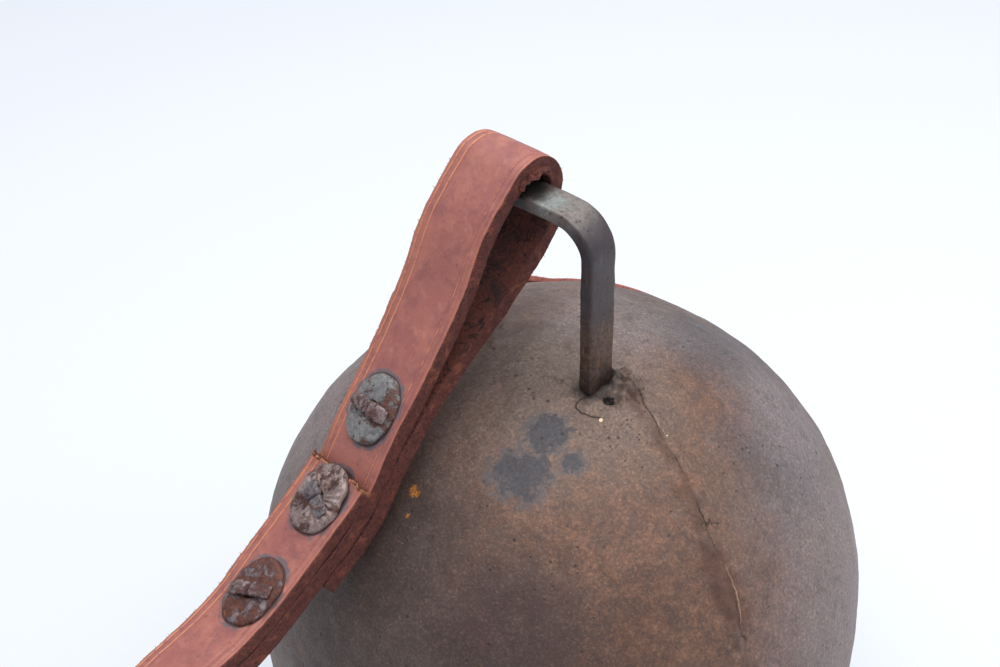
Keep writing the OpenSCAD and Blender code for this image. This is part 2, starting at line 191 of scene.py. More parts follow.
class Shader:
    """A Principled material built from a few plain steps."""

    def __init__(self, name):
        self.material = bpy.data.materials.new(name)
        self.material.use_nodes = True
        self.tree = self.material.node_tree
        self.tree.nodes.clear()
        self.surface = self.tree.nodes.new("ShaderNodeBsdfPrincipled")
        output = self.tree.nodes.new("ShaderNodeOutputMaterial")
        self.tree.links.new(self.surface.outputs[0], output.inputs[0])
        self.place = self.node("ShaderNodeTexCoord")["Object"]
        self.normal = None

    def node(self, kind, feeds=None, **settings):
        """A new node's outputs; feeds gives its inputs as numbers or as other nodes' outputs."""
        made = self.tree.nodes.new(kind)
        for key, value in settings.items():
            setattr(made, key, value)
        for key, value in (feeds or {}).items():
            self.feed(made.inputs[key], value)
        return made.outputs

    def feed(self, socket, value):
        if isinstance(value, bpy.types.NodeSocket):
            self.tree.links.new(value, socket)
        else:
            socket.default_value = value

    def mark(self, name):
        return self.node("ShaderNodeAttribute", attribute_name=name)["Fac"]

    def stretched(self, sizes):
        """The place with each axis multiplied by its own share, for streaks."""
        return self.node("ShaderNodeMapping", {"Vector": self.place, "Scale": sizes})[0]

    def noise(self, size, detail=4.0, roughness=0.55, warp=0.0, at=None, shift=0.0):
        """Cloudy values about 0.5, in lumps of size mm."""
        feeds = {"Vector": at or self.place, "W": shift, "Scale": 1 / (size * MM), "Detail": detail,
                 "Roughness": roughness, "Distortion": warp}
        return self.node("ShaderNodeTexNoise", feeds, noise_dimensions="4D")["Fac"]

    def span(self, value, low, high, to_low=0.0, to_high=1.0):
        feeds = dict(enumerate((value, low, high, to_low, to_high)))
        return self.node("ShaderNodeMapRange", feeds, interpolation_type="SMOOTHSTEP")[0]

    def math(self, operation, a, b=0.0, clamp=False):
        return self.node("ShaderNodeMath", {0: a, 1: b}, operation=operation, use_clamp=clamp)[0]

    def add(self, a, b):
        return self.math("ADD", a, b)

    def times(self, a, b):
        return self.math("MULTIPLY", a, b)

    def both(self, a, b):
        return self.math("MULTIPLY", a, b, clamp=True)

    def either(self, a, b):
        return self.math("MAXIMUM", a, b, clamp=True)

    def sway(self, amount, size, detail, roughness, shift):
        """Noise about zero, for an unsteady course."""
        cloud = self.noise(size, detail, roughness, shift=shift)
        return self.times(self.math("SUBTRACT", cloud, 0.5), amount)

    def mix(self, amount, a, b):
        return self.node("ShaderNodeMix", {0: amount, 6: a, 7: b}, data_type="RGBA")[2]

    def tone(self, value, low, high, dark, light):
        """From one colour to another as a value rises."""
        return self.mix(self.span(value, low, high), colour(*dark), colour(*light))

    def coat(self, base, *layers):
        """Lays colours over base in turn; a layer is a colour, an amount and perhaps a share of it."""
        for rgb, amount, *share in layers:
            base = self.mix(self.both(amount, share[0]) if share else amount, base, colour(*rgb))
        return base

    def near(self, centre, radius, ragged=0.5, grain=7.0, shift=0.0, soft=0.2):
        """1 inside a ragged patch about a point in mm, 0 outside it; soft is the width of its edge."""
        ends = {0: self.place, 1: [c * MM for c in centre]}
        away = self.node("ShaderNodeVectorMath", ends, operation="DISTANCE")["Value"]
        reach = self.add(away, self.sway(4 * ragged * radius * MM, grain, 6.0, 0.7, shift))
        return self.span(reach, (1 + soft) * radius * MM, (1 - soft) * radius * MM)

    def patches(self, places, shift=0, soft=0.6):
        """1 inside any of the ragged patches (centre, radius, ragged, grain)."""
        total = 0.0
        for i, (centre, radius, ragged, grain) in enumerate(places):
            total = self.either(total, self.near(centre, radius, ragged, grain, shift + i, soft))
        return total

    def line(self, value, centre, width, wobble=0.0, grain=4.0, shift=0.0):
        """1 on a thin line where value, in mm, passes centre, with an unsteady course."""
        sway = self.sway(2 * wobble, grain, 4, 0.6, shift)
        away = self.math("ABSOLUTE", self.add(self.math("SUBTRACT", value, centre), sway))
        return self.span(away, width, width * 0.3)

    def veins(self, size, width, shift=0.0):
        """Thin wandering lines: where a cloud passes its middle value."""
        away = self.math("ABSOLUTE", self.math("SUBTRACT", self.noise(size, 3, 0.5, 0.3, shift=shift), 0.5))
        return self.span(away, width, width * 0.3)

    def dots(self, size, share, radius, shift=0.0):
        """Small round spots in a share of the cells of one size."""
        ends = {0: self.place, 1: (shift, shift * 1.7, shift * 0.6)}
        moved = self.node("ShaderNodeVectorMath", ends, operation="ADD")[0]
        cells = self.node("ShaderNodeTexVoronoi", {"Vector": moved, "Scale": 1 / (size * MM)}, feature="F1")
        pick = self.node("ShaderNodeSeparateColor", {0: cells["Color"]})
        chosen = self.math("LESS_THAN", pick[0], share)
        reach = self.times(pick[1], radius)
        return self.both(self.span(cells["Distance"], reach, self.times(reach, 0.5)), chosen)

    def bump(self, height, depth, strength=1.0):
        """Adds relief of depth mm where height goes from 0 to 1."""
        feeds = {"Strength": strength, "Distance": depth * MM, "Height": height}
        if self.normal is not None:
            feeds["Normal"] = self.normal
        self.normal = self.node("ShaderNodeBump", feeds)[0]

    def finish(self, base, roughness, metallic=0.0, **rest):
        feeds = {"Base Color": base, "Roughness": roughness, "Metallic": metallic}
        feeds |= {key.replace("_", " "): value for key, value in rest.items()}
        if self.normal is not None:
            feeds["Normal"] = self.normal
        for key, value in feeds.items():
            self.feed(self.surface.inputs[key], value)
        return self.material


BELL_AREAS = (  # colour, strength, and the ragged patches that it lies in; some are painted shadow and painted reflection
    ((142, 127, 116), 0.5, (((20, -14, 207), 30, 0.4, 20),)),
    ((162, 150, 150), 0.5, (((4, 29, 206), 22, 0.45, 14),)),
    ((84, 50, 42), 0.6, (((44, -78, 166), 20, 0.5, 16), ((70, -70, 140), 26, 0.5, 18))),
    # painted shadow of the collar strap on the bell, beside and below it
    ((74, 60, 58), 0.55, (((2, -84, 172), 26, 0.5, 18), ((30, -96, 140), 36, 0.5, 22),
                          ((-14, -104, 138), 34, 0.5, 20), ((48, -72, 171), 18, 0.6, 14))),
    ((104, 103, 110), 0.6, (((30, 50, 192), 22, 0.5, 18), ((66, 40, 178), 26, 0.5, 18))),
    # painted reflection: pale haze at the bell's left and right edges, where its sides turn from view
    ((166, 149, 149), 0.55, (((96, 34, 134), 44, 0.35, 22), ((-69, -45, 176), 36, 0.4, 22),
                             ((61, 51, 178), 24, 0.4, 18))),
)
BELL_MOTTLE = (  # size, shift, level, share and colour of small clouds
    (9, 8, 0.54, 0.42, (76, 64, 62)), (7, 38, 0.56, 0.34, (160, 118, 92)),
    (4.2, 39, 0.575, 0.5, (62, 59, 64)), (3.0, 37, 0.60, 0.4, (150, 96, 66)))


def bell_colours(s, cloud, fine, grain):
    """The broad areas of colour on the bell, among them a painted strap shadow and painted reflections at its
    edges, and their fine mottling.
    """
    base = s.tone(cloud, 0.36, 0.64, (98, 77, 68), (127, 106, 96))
    warm = s.patches((((48, -34, 190), 42, 0.45, 26), ((44, 16, 200), 26, 0.4, 20),
                      ((82, -34, 160), 40, 0.45, 24)))
    bronze = s.tone(fine, 0.36, 0.66, (110, 74, 57), (154, 108, 82))
    base = s.mix(s.both(warm, s.span(fine, 0.2, 0.75, 0.35, 0.85)), base, bronze)
    for i, (shade, share, places) in enumerate(BELL_AREAS):
        uneven = s.span(fine, 0.3, 0.6, 0.6 * share, 1.2 * share)
        base = s.coat(base, (shade, s.patches(places, 10 * i + 4), uneven))
    for size, shift, low, share, shade in BELL_MOTTLE:
        patch = s.span(s.noise(size, 7, 0.78, 0.5, shift=shift), low, low + 0.09)
        base = s.coat(base, (shade, patch, share))
    streaks = s.noise(1.5, 6, 0.8, 0.4, at=s.stretched((0.5, 0.5, 1.3)), shift=36)
    return s.coat(base, ((54, 44, 42), s.span(streaks, 0.44, 0.32, 0, 0.55)),
                  ((52, 42, 40), s.span(grain, 0.44, 0.62, 0.46, 0)),
                  ((184, 150, 128), s.span(grain, 0.52, 0.70, 0, 0.14)))


def bell_cracks(s, oval):
    """Hair cracks in the crown's folds and braze, and the rim of the oval pad."""
    crack = s.both(s.both(s.veins(9, 0.007, 57), s.near((12, -13, 208), 7, 0.3, 5, 58)), 0.7)
    crack = s.either(crack, s.both(s.veins(6, 0.012, 60), s.near((29, 1, 206), 6, 0.3, 4, 61)))
    crack = s.either(crack, s.both(s.veins(12, 0.008, 62), s.near((72, -14, 183), 7, 0.3, 5, 63)))
    rim = s.both(s.line(oval, 1.05, 0.075, 0.1, 2.2, 64), s.near((26.5, -17, 206), 6.0, 0.3, 3, 65))
    return s.either(crack, rim)


def bell_pits(s):
    pits = s.both(s.dots(1.9, 0.34, 0.42, 1.0), s.span(s.noise(16, 3, 0.5, shift=67), 0.46, 0.6))
    pits = s.either(pits, s.dots(6.0, 0.2, 0.22, 2.0))
    beside_bail = s.either(s.near((38, -14, 203), 13, 0.4, 8, 68, 0.4),
                           s.near((57, -8, 195.5), 5, 0.5, 4, 72, 0.4))
    return s.either(pits, s.both(s.dots(1.2, 0.5, 0.4, 3.0), beside_bail))


def bell_iron():
    """Brazed sheet iron: grey-brown with bronze and orange areas, dark stains, pits and specks."""
    s = Shader("bell_iron_finish")
    seam, oval, foot = (s.mark(k) for k in ("seam", "oval", "foot"))
    cloud = s.noise(30, 6, 0.66, 0.6)
    fine = s.noise(5, 8, 0.75, 0.3, shift=3)
    grain = s.noise(0.95, 6, 0.8, 0.0, shift=5)
    stain = s.patches((((22.6, -32, 204), 8, 0.75, 4.5), ((25, -46, 198), 10, 0.7, 5),
                       ((35, -33, 200), 4.2, 0.8, 2.6)), 11, 0.16)
    core = s.patches((((23, -31, 204), 6.5, 0.75, 3.5), ((26, -45.5, 198), 8, 0.75, 4),
                      ((35, -33, 200), 3.2, 0.8, 2)), 14, 0.14)
    smear = s.patches((((80, -19, 176), 5, 0.4, 4), ((85.5, -19.5, 169), 6, 0.4, 4),
                       ((91, -20.5, 162), 5, 0.4, 4)), 50)
    from_seam = s.add(s.add(seam, 1.6), s.sway(11, 4, 6, 0.75, 53))
    band = s.span(s.math("ABSOLUTE", from_seam), 4.0, 1.2)
    open_at = s.patches((((38, -2, 204), 7, 0.3, 4), ((71.5, -12, 185), 4, 0.3, 3),
                         ((95, -17, 157), 5, 0.3, 4), ((57, -8, 196), 3, 0.5, 2)), 70, 0.3)
    broken = s.span(s.noise(5, 4, 0.6, shift=55), 0.52, 0.6, 0, 0.5)
    thin = s.both(s.line(seam, 0.4, 0.42, 1.8, 4, 54), s.either(open_at, broken))
    lit = s.both(s.line(seam, 1.5, 0.35, 1.4, 5, 54),
                 s.patches((((88, -19, 166), 8, 0.3, 4), ((45, -4, 201), 4, 0.5, 3)), 76))
    crack, pits = bell_cracks(s, oval), bell_pits(s)
    # painted shade round the foot of each bail leg, darkest next to the bar
    foot_shade = s.span(s.add(foot, s.times(s.noise(3, 5, 0.7, shift=66), 6)), 6.8, 3.2)
    brass = s.patches((((-1.6, -67, 189.4), 1.9, 0.9, 1.2), ((1.1, -73, 184.7), 0.7, 0.9, 1.0)), 20, 0.2)
    glint = s.patches((((32, -15.9, 205), 0.6, 0.8, 0.8), ((48.9, -3.3, 200), 0.4, 0.8, 0.7)), 22, 0.1)
    base = s.coat(
        bell_colours(s, cloud, fine, grain),
        ((84, 83, 88), stain, s.span(grain, 0.3, 0.6, 0.8, 0.5)),
        ((58, 59, 66), core, s.span(grain, 0.3, 0.62, 0.95, 0.55)),
        ((84, 50, 40), smear, s.span(fine, 0.35, 0.6, 0.85, 0.5)),
        ((86, 58, 46), band, s.span(s.noise(11, 4, 0.6, shift=56), 0.42, 0.56, 0.1, 0.7)),
        ((186, 152, 126), lit, 0.6),
        ((42, 32, 29), thin, 0.85),
        ((46, 34, 29), crack, 0.85),
        # painted shade round the bail's feet
        ((42, 35, 33), foot_shade, 0.86),
        # painted shade, near black, in the hollow beside the +X leg's foot
        ((18, 14, 14), s.near((28.7, -7.9, 206), 1.9, 0.5, 1.6, 69)),
        ((48, 40, 40), pits, 0.8),
        ((214, 136, 52), brass, s.span(s.noise(0.6, 4, 0.7, shift=24), 0.42, 0.52)),
        ((236, 206, 170), glint))
    s.bump(s.noise(12, 5, 0.65, shift=70), 1.2, 0.45)
    s.bump(fine, 0.55, 0.6)
    s.bump(s.math("SUBTRACT", grain, s.either(crack, s.both(pits, 0.7))), 0.26, 0.75)
    s.bump(s.math("SUBTRACT", s.both(lit, 0.6), thin), 0.35, 0.8)
    return s.finish(base, s.span(s.add(s.both(cloud, 0.5), s.both(fine, 0.5)), 0.35, 0.65, 0.44, 0.64), 0.25)


def bell_inside():
    s = Shader("bell_inside_finish")
    cloud = s.noise(20, 7, 0.68, 0.5)
    base = s.tone(cloud, 0.38, 0.62, (58, 46, 42), (104, 70, 50))
    base = s.coat(base, ((128, 82, 54), s.span(s.noise(6, 5, 0.7, shift=2), 0.55, 0.68)))
    s.bump(cloud, 1.2, 0.6)
    s.bump(s.noise(2.2, 5, 0.7, shift=4), 0.3, 0.7)
    return s.finish(base, s.span(cloud, 0.3, 0.7, 0.62, 0.85), 0.2)


def plain_iron():
    """Black forge scale with drawn-out streaks and some rust."""
    s = Shader("plain_iron_finish")
    drawn = s.noise(4.5, 6, 0.66, 0.3, at=s.stretched((1, 1, 0.16)))
    cloud = s.noise(16, 5, 0.6, 0.4, shift=2)
    base = s.coat(s.tone(drawn, 0.36, 0.66, (54, 46, 44), (92, 80, 74)),
                  ((110, 66, 46), s.span(cloud, 0.42, 0.72), 0.8),
                  ((36, 32, 32), s.span(s.noise(1.6, 4, 0.7, shift=6), 0.62, 0.7, 0, 0.6)))
    s.bump(drawn, 0.35, 0.5)
    s.bump(s.noise(0.9, 4, 0.7, shift=9), 0.1, 0.6)
    return s.finish(base, s.span(cloud, 0.35, 0.65, 0.4, 0.6), 0.5)


def bail_iron():
    """The bail: dark brown-grey bar with a painted bluish sheen on its upper bend, verdigris beside the
    strap, soot and painted shadow where the strap lies on it, and painted shade at its foot.
    """
    s = Shader("bail_iron_finish")
    drawn = s.noise(2.6, 7, 0.72, 0.3, at=s.stretched((1, 1, 0.14)))
    cloud = s.noise(9, 6, 0.68, 0.5, shift=2)
    grain = s.noise(1.2, 6, 0.75, shift=6)
    # painted bluish sheen on the upper bend and leg
    bluish_sheen = s.patches((((20, -7, 264), 13, 0.5, 7), ((25, -10, 246), 9, 0.5, 6)), 4)
    base = s.coat(
        s.tone(cloud, 0.36, 0.64, (62, 47, 43), (88, 69, 63)),
        ((118, 94, 82), s.span(drawn, 0.54, 0.66, 0, 0.7)),
        ((42, 34, 33), s.span(drawn, 0.46, 0.34, 0, 0.85)),
        ((132, 102, 78), s.near((24, -7, 222), 16, 0.6, 7, 3, 0.5), s.span(grain, 0.42, 0.62, 0, 0.5)),
        ((58, 57, 64), bluish_sheen, s.span(grain, 0.3, 0.6, 0.85, 0.55)),
        ((140, 132, 126), s.near((7, -7, 272), 11, 0.45, 7, 7, 0.6), s.span(grain, 0.3, 0.6, 0.3, 0.8)),
        ((140, 150, 147), s.near((5, -8.5, 272), 4.5, 0.7, 3, 8, 0.5), s.span(grain, 0.35, 0.55, 0.2, 0.8)),
        # painted shadow of the strap's loop on the crossbar, over some soot
        ((38, 36, 37), s.near((-5, -7, 271), 7.5, 0.5, 4, 10, 0.5), 0.85),
        # painted shade at the foot of the +X leg, where it meets the bell
        ((40, 33, 31), s.near((21, -8, 205), 11, 0.5, 5, 9, 0.5), 0.8),
        ((34, 29, 30), s.dots(1.5, 0.3, 0.4, 4.0), 0.7))
    s.bump(cloud, 0.5, 0.5)
    s.bump(drawn, 0.3, 0.6)
    s.bump(grain, 0.16, 0.7)
    return s.finish(base, s.span(cloud, 0.35, 0.65, 0.36, 0.52), 0.4)


def rusty_iron(name, plain, rust, share, shine):
    s = Shader(name)
    cloud = s.noise(5, 6, 0.7, 0.8)
    flake = s.noise(1.3, 5, 0.7, 0.4, shift=4)
    base = s.coat(s.tone(cloud, 0.66 - 0.3 * share, 0.74 - 0.3 * share, plain, rust),
                  ((56, 40, 38), s.span(flake, 0.56, 0.7, 0, 0.7)),
                  ((168, 104, 78), s.span(s.noise(2.1, 4, 0.6, shift=7), 0.62, 0.7, 0, 0.5)))
    s.bump(cloud, 0.35, 0.7)
    s.bump(flake, 0.16, 0.8)
    return s.finish(base, s.span(cloud, 0.35, 0.65, shine - 0.08, shine + 0.16), 0.45)


def washer_iron(name, plain, rust, share, worst=(0, -93, 196), radius=0.1):
    """Old plated iron: smooth grey plate breaking up into pitted rust, worst in one place."""
    s = Shader(name)
    cloud = s.noise(6, 7, 0.75, 0.8)
    flake = s.noise(1.5, 6, 0.75, 0.5, shift=4)
    bad = s.near((STRAP_X + worst[0], *worst[1:]), radius, 0.5, 4, 5, 0.5)
    amount = s.add(cloud, s.times(bad, 0.16))
    eaten = s.span(amount, 0.62 - 0.24 * share, 0.70 - 0.24 * share)
    plate = s.mix(s.span(flake, 0.4, 0.6), colour(*plain), s.mix(0.25, colour(*plain), colour(200, 190, 190)))
    red = s.tone(flake, 0.4, 0.62, [c * 0.72 for c in rust], rust)
    base = s.coat(s.mix(eaten, plate, red),
                  ((164, 98, 70), s.span(s.noise(2.2, 6, 0.7, shift=7), 0.58, 0.7, 0, 0.75)),
                  ((52, 38, 38), s.dots(1.3, 0.4, 0.42, 5.0), 0.75),
                  ((92, 92, 98), s.span(s.noise(3.4, 5, 0.7, 0.5, shift=9), 0.62, 0.7, 0, 0.5)))
    s.bump(cloud, 0.4, 0.6)
    s.bump(s.times(flake, s.add(eaten, 0.35)), 0.3, 0.8)
    return s.finish(base, s.span(amount, 0.4, 0.7, 0.44, 0.68), 0.35)


CREASES = ((-11.5, 0.34, 0.45), (-9.0, 0.34, 0.42), (9.4, 0.28, 0.52))  # place, width, share broken


def leather_grain(s, fine, iron_stains):
    """The smooth grain face, with creases along each edge and perhaps stains round the washers."""
    across = s.mark("across")
    bare = s.span(s.mark("covered"), 1.0, 0.0)
    cloud = s.noise(26, 6, 0.62, 0.5)
    grit = s.noise(0.9, 6, 0.75, 0.2, shift=4)
    side = s.span(s.math("ABSOLUTE", across), 11.4, 12.8)
    worn = s.both(bare, s.both(side, s.span(fine, 0.3, 0.62, 0.1, 0.6)))
    grain = s.coat(
        s.tone(cloud, 0.36, 0.64, (148, 86, 79), (168, 103, 90)),
        ((124, 72, 74), s.span(s.noise(8, 7, 0.75, 0.4, shift=9), 0.46, 0.62, 0, 0.55)),
        ((188, 124, 108), s.span(fine, 0.5, 0.7, 0, 0.4)),
        ((112, 60, 56), s.span(grit, 0.46, 0.3, 0, 0.5)),
        ((96, 58, 56), s.dots(2.2, 0.3, 0.3, 6.0), 0.5),
        ((192, 128, 104), s.span(s.noise(18, 5, 0.6, 0.4, shift=10), 0.54, 0.72, 0, 0.5)),
        ((180, 108, 80), worn))
    for i, (at, width, share) in enumerate(CREASES):
        broken = s.span(s.noise(2.6, 4, 0.7, shift=80 + i), share - 0.06, share + 0.05)
        crease = s.both(s.line(across, at, width, 0.35, 5, 70 + i), broken)
        grain = s.coat(grain, ((204, 132, 90), crease, s.times(bare, 0.85)),
                       ((112, 56, 50), s.line(across, at + 0.45, 0.3, 0.35, 5, 70 + i), 0.35))
    if iron_stains:
        ring = s.mark("ring")
        reach = s.span(s.add(ring, s.sway(5.5, 2.4, 5, 0.7, 31)), 1.9, 1.0)
        patchy = s.span(s.noise(7, 3, 0.5, shift=32), 0.40, 0.52)
        grain = s.coat(grain, ((94, 90, 96), s.both(reach, patchy), 0.85),
                       ((64, 42, 40), s.span(ring, 0.7, 0.15, 0, 0.85)),
                       ((100, 84, 84), s.near((STRAP_X + 4, -80.5, 206.5), 1.3, 0.4, 1.6, 40), 0.7))
    return grain, grit


def strap_leather(name, iron_stains, dark_cut, pale_cut):
    """Oiled harness leather: smooth grain face, creases along each edge, fibrous cut edges and a
    rough flesh side. The marks on its points say which is which."""
    s = Shader(name)
    edge, flesh, fray = (s.mark(k) for k in ("edge", "flesh", "fray"))
    fine = s.noise(3.4, 7, 0.72, 0.2, shift=3)
    fibre = s.noise(1.1, 7, 0.8, 0.8, shift=6)
    grain, grit = leather_grain(s, fine, iron_stains)
    cut = s.coat(s.tone(fibre, 0.34, 0.66, dark_cut, pale_cut),
                 ((150, 82, 56), s.span(s.noise(6, 7, 0.8, 0.6, shift=14), 0.52, 0.64, 0, 0.6)),
                 ((40, 20, 20), s.span(s.noise(2.2, 6, 0.8, 0.6, shift=15), 0.44, 0.32, 0, 0.8)))
    back = s.coat(s.tone(fibre, 0.32, 0.68, (66, 34, 30), (130, 68, 52)),
                  ((48, 34, 36), s.span(s.noise(9, 6, 0.75, 0.8, shift=16), 0.46, 0.62, 0, 0.75)),
                  ((30, 18, 18), s.veins(7, 0.02, 17), 0.8))
    sawn = s.add(s.either(edge, s.mark("covered")), s.times(fibre, 0.6))
    base = s.mix(s.span(sawn, 0.55, 0.85), grain, cut)
    base = s.mix(s.span(flesh, 0.3, 0.7), base, back)
    loose = s.both(s.span(s.add(fray, s.times(fibre, 0.8)), 0.7, 1.1), 0.8)
    base = s.mix(loose, base, s.tone(fibre, 0.4, 0.6, (132, 78, 52), (188, 122, 80)))
    rough_side = s.either(edge, flesh)
    smooth_side = s.math("SUBTRACT", 1.0, rough_side)
    s.bump(s.noise(8, 5, 0.65, shift=20), 0.6, 0.4)
    s.bump(s.both(s.add(fine, s.times(grit, 0.6)), smooth_side), 0.16, 0.6)
    s.bump(s.both(fibre, rough_side), 0.6, 0.95)
    uneven = s.times(s.math("SUBTRACT", fine, 0.5), 0.3)
    return s.finish(base, s.add(s.span(rough_side, 0.0, 1.0, 0.5, 0.9), uneven))


def cut_leather():
    """The sawn end of a strap."""
    s = Shader("cut_leather_finish")
    fibre = s.noise(0.9, 6, 0.75, 0.5)
    s.bump(fibre, 0.5, 0.9)
    return s.finish(s.tone(fibre, 0.36, 0.66, (54, 28, 24), (108, 60, 44)), 0.9)


def floor_white():
    return Shader("floor_finish").finish(
        colour(188, 190, 194), 0.9, Emission_Color=colour(240, 246, 255), Emission_Strength=0.36)


BELL_IRON, BELL_INSIDE, BAIL_IRON, PLAIN_IRON = bell_iron(), bell_inside(), bail_iron(), plain_iron()
CLAPPER_RUST = rusty_iron("clapper_finish", (78, 66, 62), (116, 68, 48), 1.0, 0.62)
BUCKLE_IRON = rusty_iron("buckle_finish", (96, 90, 88), (112, 74, 58), 0.4, 0.4)
WASHER_GREY = washer_iron("washer_grey_finish", (106, 106, 106), (112, 74, 64), 0.5, (6.5, -69, 217), 5)
WASHER_BROWN = washer_iron("washer_brown_finish", (128, 106, 100), (98, 64, 58), 0.6)
WASHER_RUST = washer_iron("washer_rust_finish", (92, 76, 80), (112, 64, 52), 0.85, (0, -122, 178))
RIVET_DARK = washer_iron("rivet_dark_finish", (80, 72, 76), (104, 66, 62), 0.4)
RIVET_RUST = washer_iron("rivet_rust_finish", (112, 88, 88), (98, 62, 58), 0.7)
COPPER = rusty_iron("copper_finish", (168, 104, 74), (110, 76, 62), 0.5, 0.4)
COLLAR_LEATHER = strap_leather("collar_leather_finish", True, (54, 24, 22), (112, 54, 44))
BACK_LEATHER = strap_leather("back_leather_finish", False, (112, 60, 54), (176, 104, 92))
CUT_LEATHER = cut_leather()


# The bell: one sheet-iron body with its seams, brazed feet, dents and cracks in the mesh

def bell_profile(count, inset=0.0):
    """Points (radius, height) from the crown's top down to the mouth, closer together on the crown."""
    share = np.linspace(0, 1, count)
    length = share ** 1.25
    angle = length * (math.pi / 2 + (BELLY_Z / BELLY_R) * 0.93)
    radius, height = np.zeros(count), np.zeros(count)
    crown = angle <= math.pi / 2
    radius[crown] = (BELLY_R - inset) * np.sin(angle[crown]) ** (2 / FULL)
    height[crown] = BELLY_Z + (CROWN_H - inset) * np.abs(np.cos(angle[crown])) ** (2 / FULL)
    low = ~crown
    run = (angle[low] - math.pi / 2) / (angle[-1] - math.pi / 2)
    height[low] = BELLY_Z * (1 - run)
    radius[low] = (BELLY_R - inset) - (BELLY_R - MOUTH_R) * run ** 2
    return radius, height


def seam_offset(p):
    """Distance across the two side seams: the lapped edges of the two shells wander down the sides."""
    wander = 1.6 * noise(p, 24, 3) + 0.7 * noise(p, 8, 4)
    right = (p[:, 1] - (9 - 0.315 * p[:, 0])) * 0.954 + wander
    left = (p[:, 1] + 0.23 * p[:, 0]) * 0.974 + wander
    return np.where(p[:, 0] > 0, right, left)


LUMPS = (  # x, y, z, radius, height: runs of braze along the seam and round the foot
    (28.2, 0.8, 206, 3.8, 4.0), (32.4, 0.4, 205, 3.0, 2.4), (23.6, 1.4, 207, 2.2, 2.0),
    (30, -2.2, 206, 1.7, 1.3),
    (58, -9, 193, 4.0, 0.6), (52, -5, 197, 3.0, 0.5), (73, -16.5, 181, 3.6, 0.6), (66, -8, 188, 4.2, 0.4),
    (91, -19.5, 160, 5.0, 0.8), (96, -25.5, 150, 4.0, 0.9), (90, -25, 157, 3.0, 0.6), (84, -14, 172, 5, 0.4),
)
HOLLOWS = (  # x, y, z, radius, depth
    (28.7, -7.9, 206, 1.8, 2.6), (25.4, 0.2, 206, 1.0, 1.0), (94, -25.5, 154, 1.6, 1.2),
    (57, -8, 195, 2.6, 0.5),
    (80, -19, 175, 3.0, 0.5),
)
RIDGES = (  # plan lines on the crown, with width and height: folds in the sheet
    (((-23, -3), (-21, 10), (-15, 20), (-6, 25)), 2.2, 1.3),
    (((-17, -12), (-14, -1), (-7, 7), (1, 10)), 2.2, 0.9),
    (((-12, -14), (-5, -5), (3, 0), (9, 2)), 1.4, 0.9), (((31, -1), (36, 0), (42, -2), (47, -5)), 2.0, 1.0),
)
PAD_CENTRE, PAD_TURN, PAD_SIZE = np.array([28.4, -13.4]), math.radians(38), (6.6, 3.4)


def bell_relief(p):
    """Height in mm to add along the normal, and the marks that the finish reads."""
    plan = p[:, :2]
    up = p[:, 2] > BELLY_Z
    h = 0.5 * noise(p, 62, 1) + 0.42 * noise(p, 24, 2) + 0.2 * noise(p, 10, 5) + 0.1 * noise(p, 4.5, 6)
    h = h + 0.07 * noise(p, 2.2, 7)
    away = seam_offset(p)
    reach = np.where(p[:, 0] > 0, step(p[:, 0], 30, 42), step(-p[:, 0], 44, 58))
    reach = reach * step(np.abs(p[:, 0]), 20, 30)
    broken = step(noise(p, 15, 8), -0.35, 0.45)
    rough_run = 1 + 1.2 * noise(p, 5, 14)
    lap = 0.7 * step(-away, -0.9, 0.7) * hump(np.abs(away), 12)
    h += reach * (lap - 0.45 * broken * hump(away - 0.4, 1.2) + 0.5 * rough_run * hump(away + 3.6, 2.2))
    h += reach * 0.45 * (1 - broken) * rough_run * hump(away - 2.5, 3.0)
    for x, y, z, radius, height in LUMPS:
        d = np.linalg.norm(p - (x, y, z), axis=1) * (1 + 0.5 * noise(p, 4, 9))
        h += height * hump(d, radius) * (1 + 0.5 * noise(p, 2.6, 15) + 0.25 * noise(p, 1.3, 17))
    for x, y, z, radius, depth in HOLLOWS:
        d = np.linalg.norm(p - (x, y, z), axis=1) * (1 + 0.5 * noise(p, 3, 10))
        h -= depth * hump(d, radius)
    jitter = 1.4 * noise(p, 6, 11)
    for line, width, height in RIDGES:
        uneven = 0.6 + 0.7 * noise(p, 8, 16)
        h += np.where(up, height * uneven * hump(line_distance(plan + jitter[:, None], line), width), 0)
    turn = np.array([[math.cos(PAD_TURN), math.sin(PAD_TURN)], [-math.sin(PAD_TURN), math.cos(PAD_TURN)]])
    oval = np.linalg.norm((plan - PAD_CENTRE) @ turn.T / PAD_SIZE, axis=1)
    h += np.where(up, 0.7 * step(oval, 1.25, 0.7), 0)
    oval = np.where(up, np.minimum(oval, 9), 9)
    foot = np.full(len(p), 99.0)
    for side in (-1, 1):
        legs = np.abs(plan - (BAIL_X + side * (BAIL_HALF - BAR_T / 2), BAIL_Y)) - (BAR_T / 2, BAR_W / 2)
        gap = np.linalg.norm(np.maximum(legs, 0), axis=1)
        bead = hump(gap, 2.4 if side > 0 else 1.3) * (1.0 if side > 0 else 0.9)
        h += np.where(up, bead * (1 + 0.6 * noise(p, 3, 13)), 0)
        foot = np.minimum(foot, np.where(up, gap, 99))
    return h, {"seam": np.where(reach > 0.02, away, 40), "oval": oval, "foot": foot}


def bell_azimuths(count):
    """Directions round the bell, closest together along the right-hand seam."""
    fine = np.linspace(-math.pi, math.pi, 4001)
    density = 0.45 + 0.55 * hump(fine + 0.55, 1.3) + 1.1 * hump(fine + 0.2, 0.16)
    total = np.concatenate([[0], np.cumsum((density[1:] + density[:-1]) / 2)])
    return np.interp(np.linspace(0, total[-1], count + 1)[:-1], total, fine)


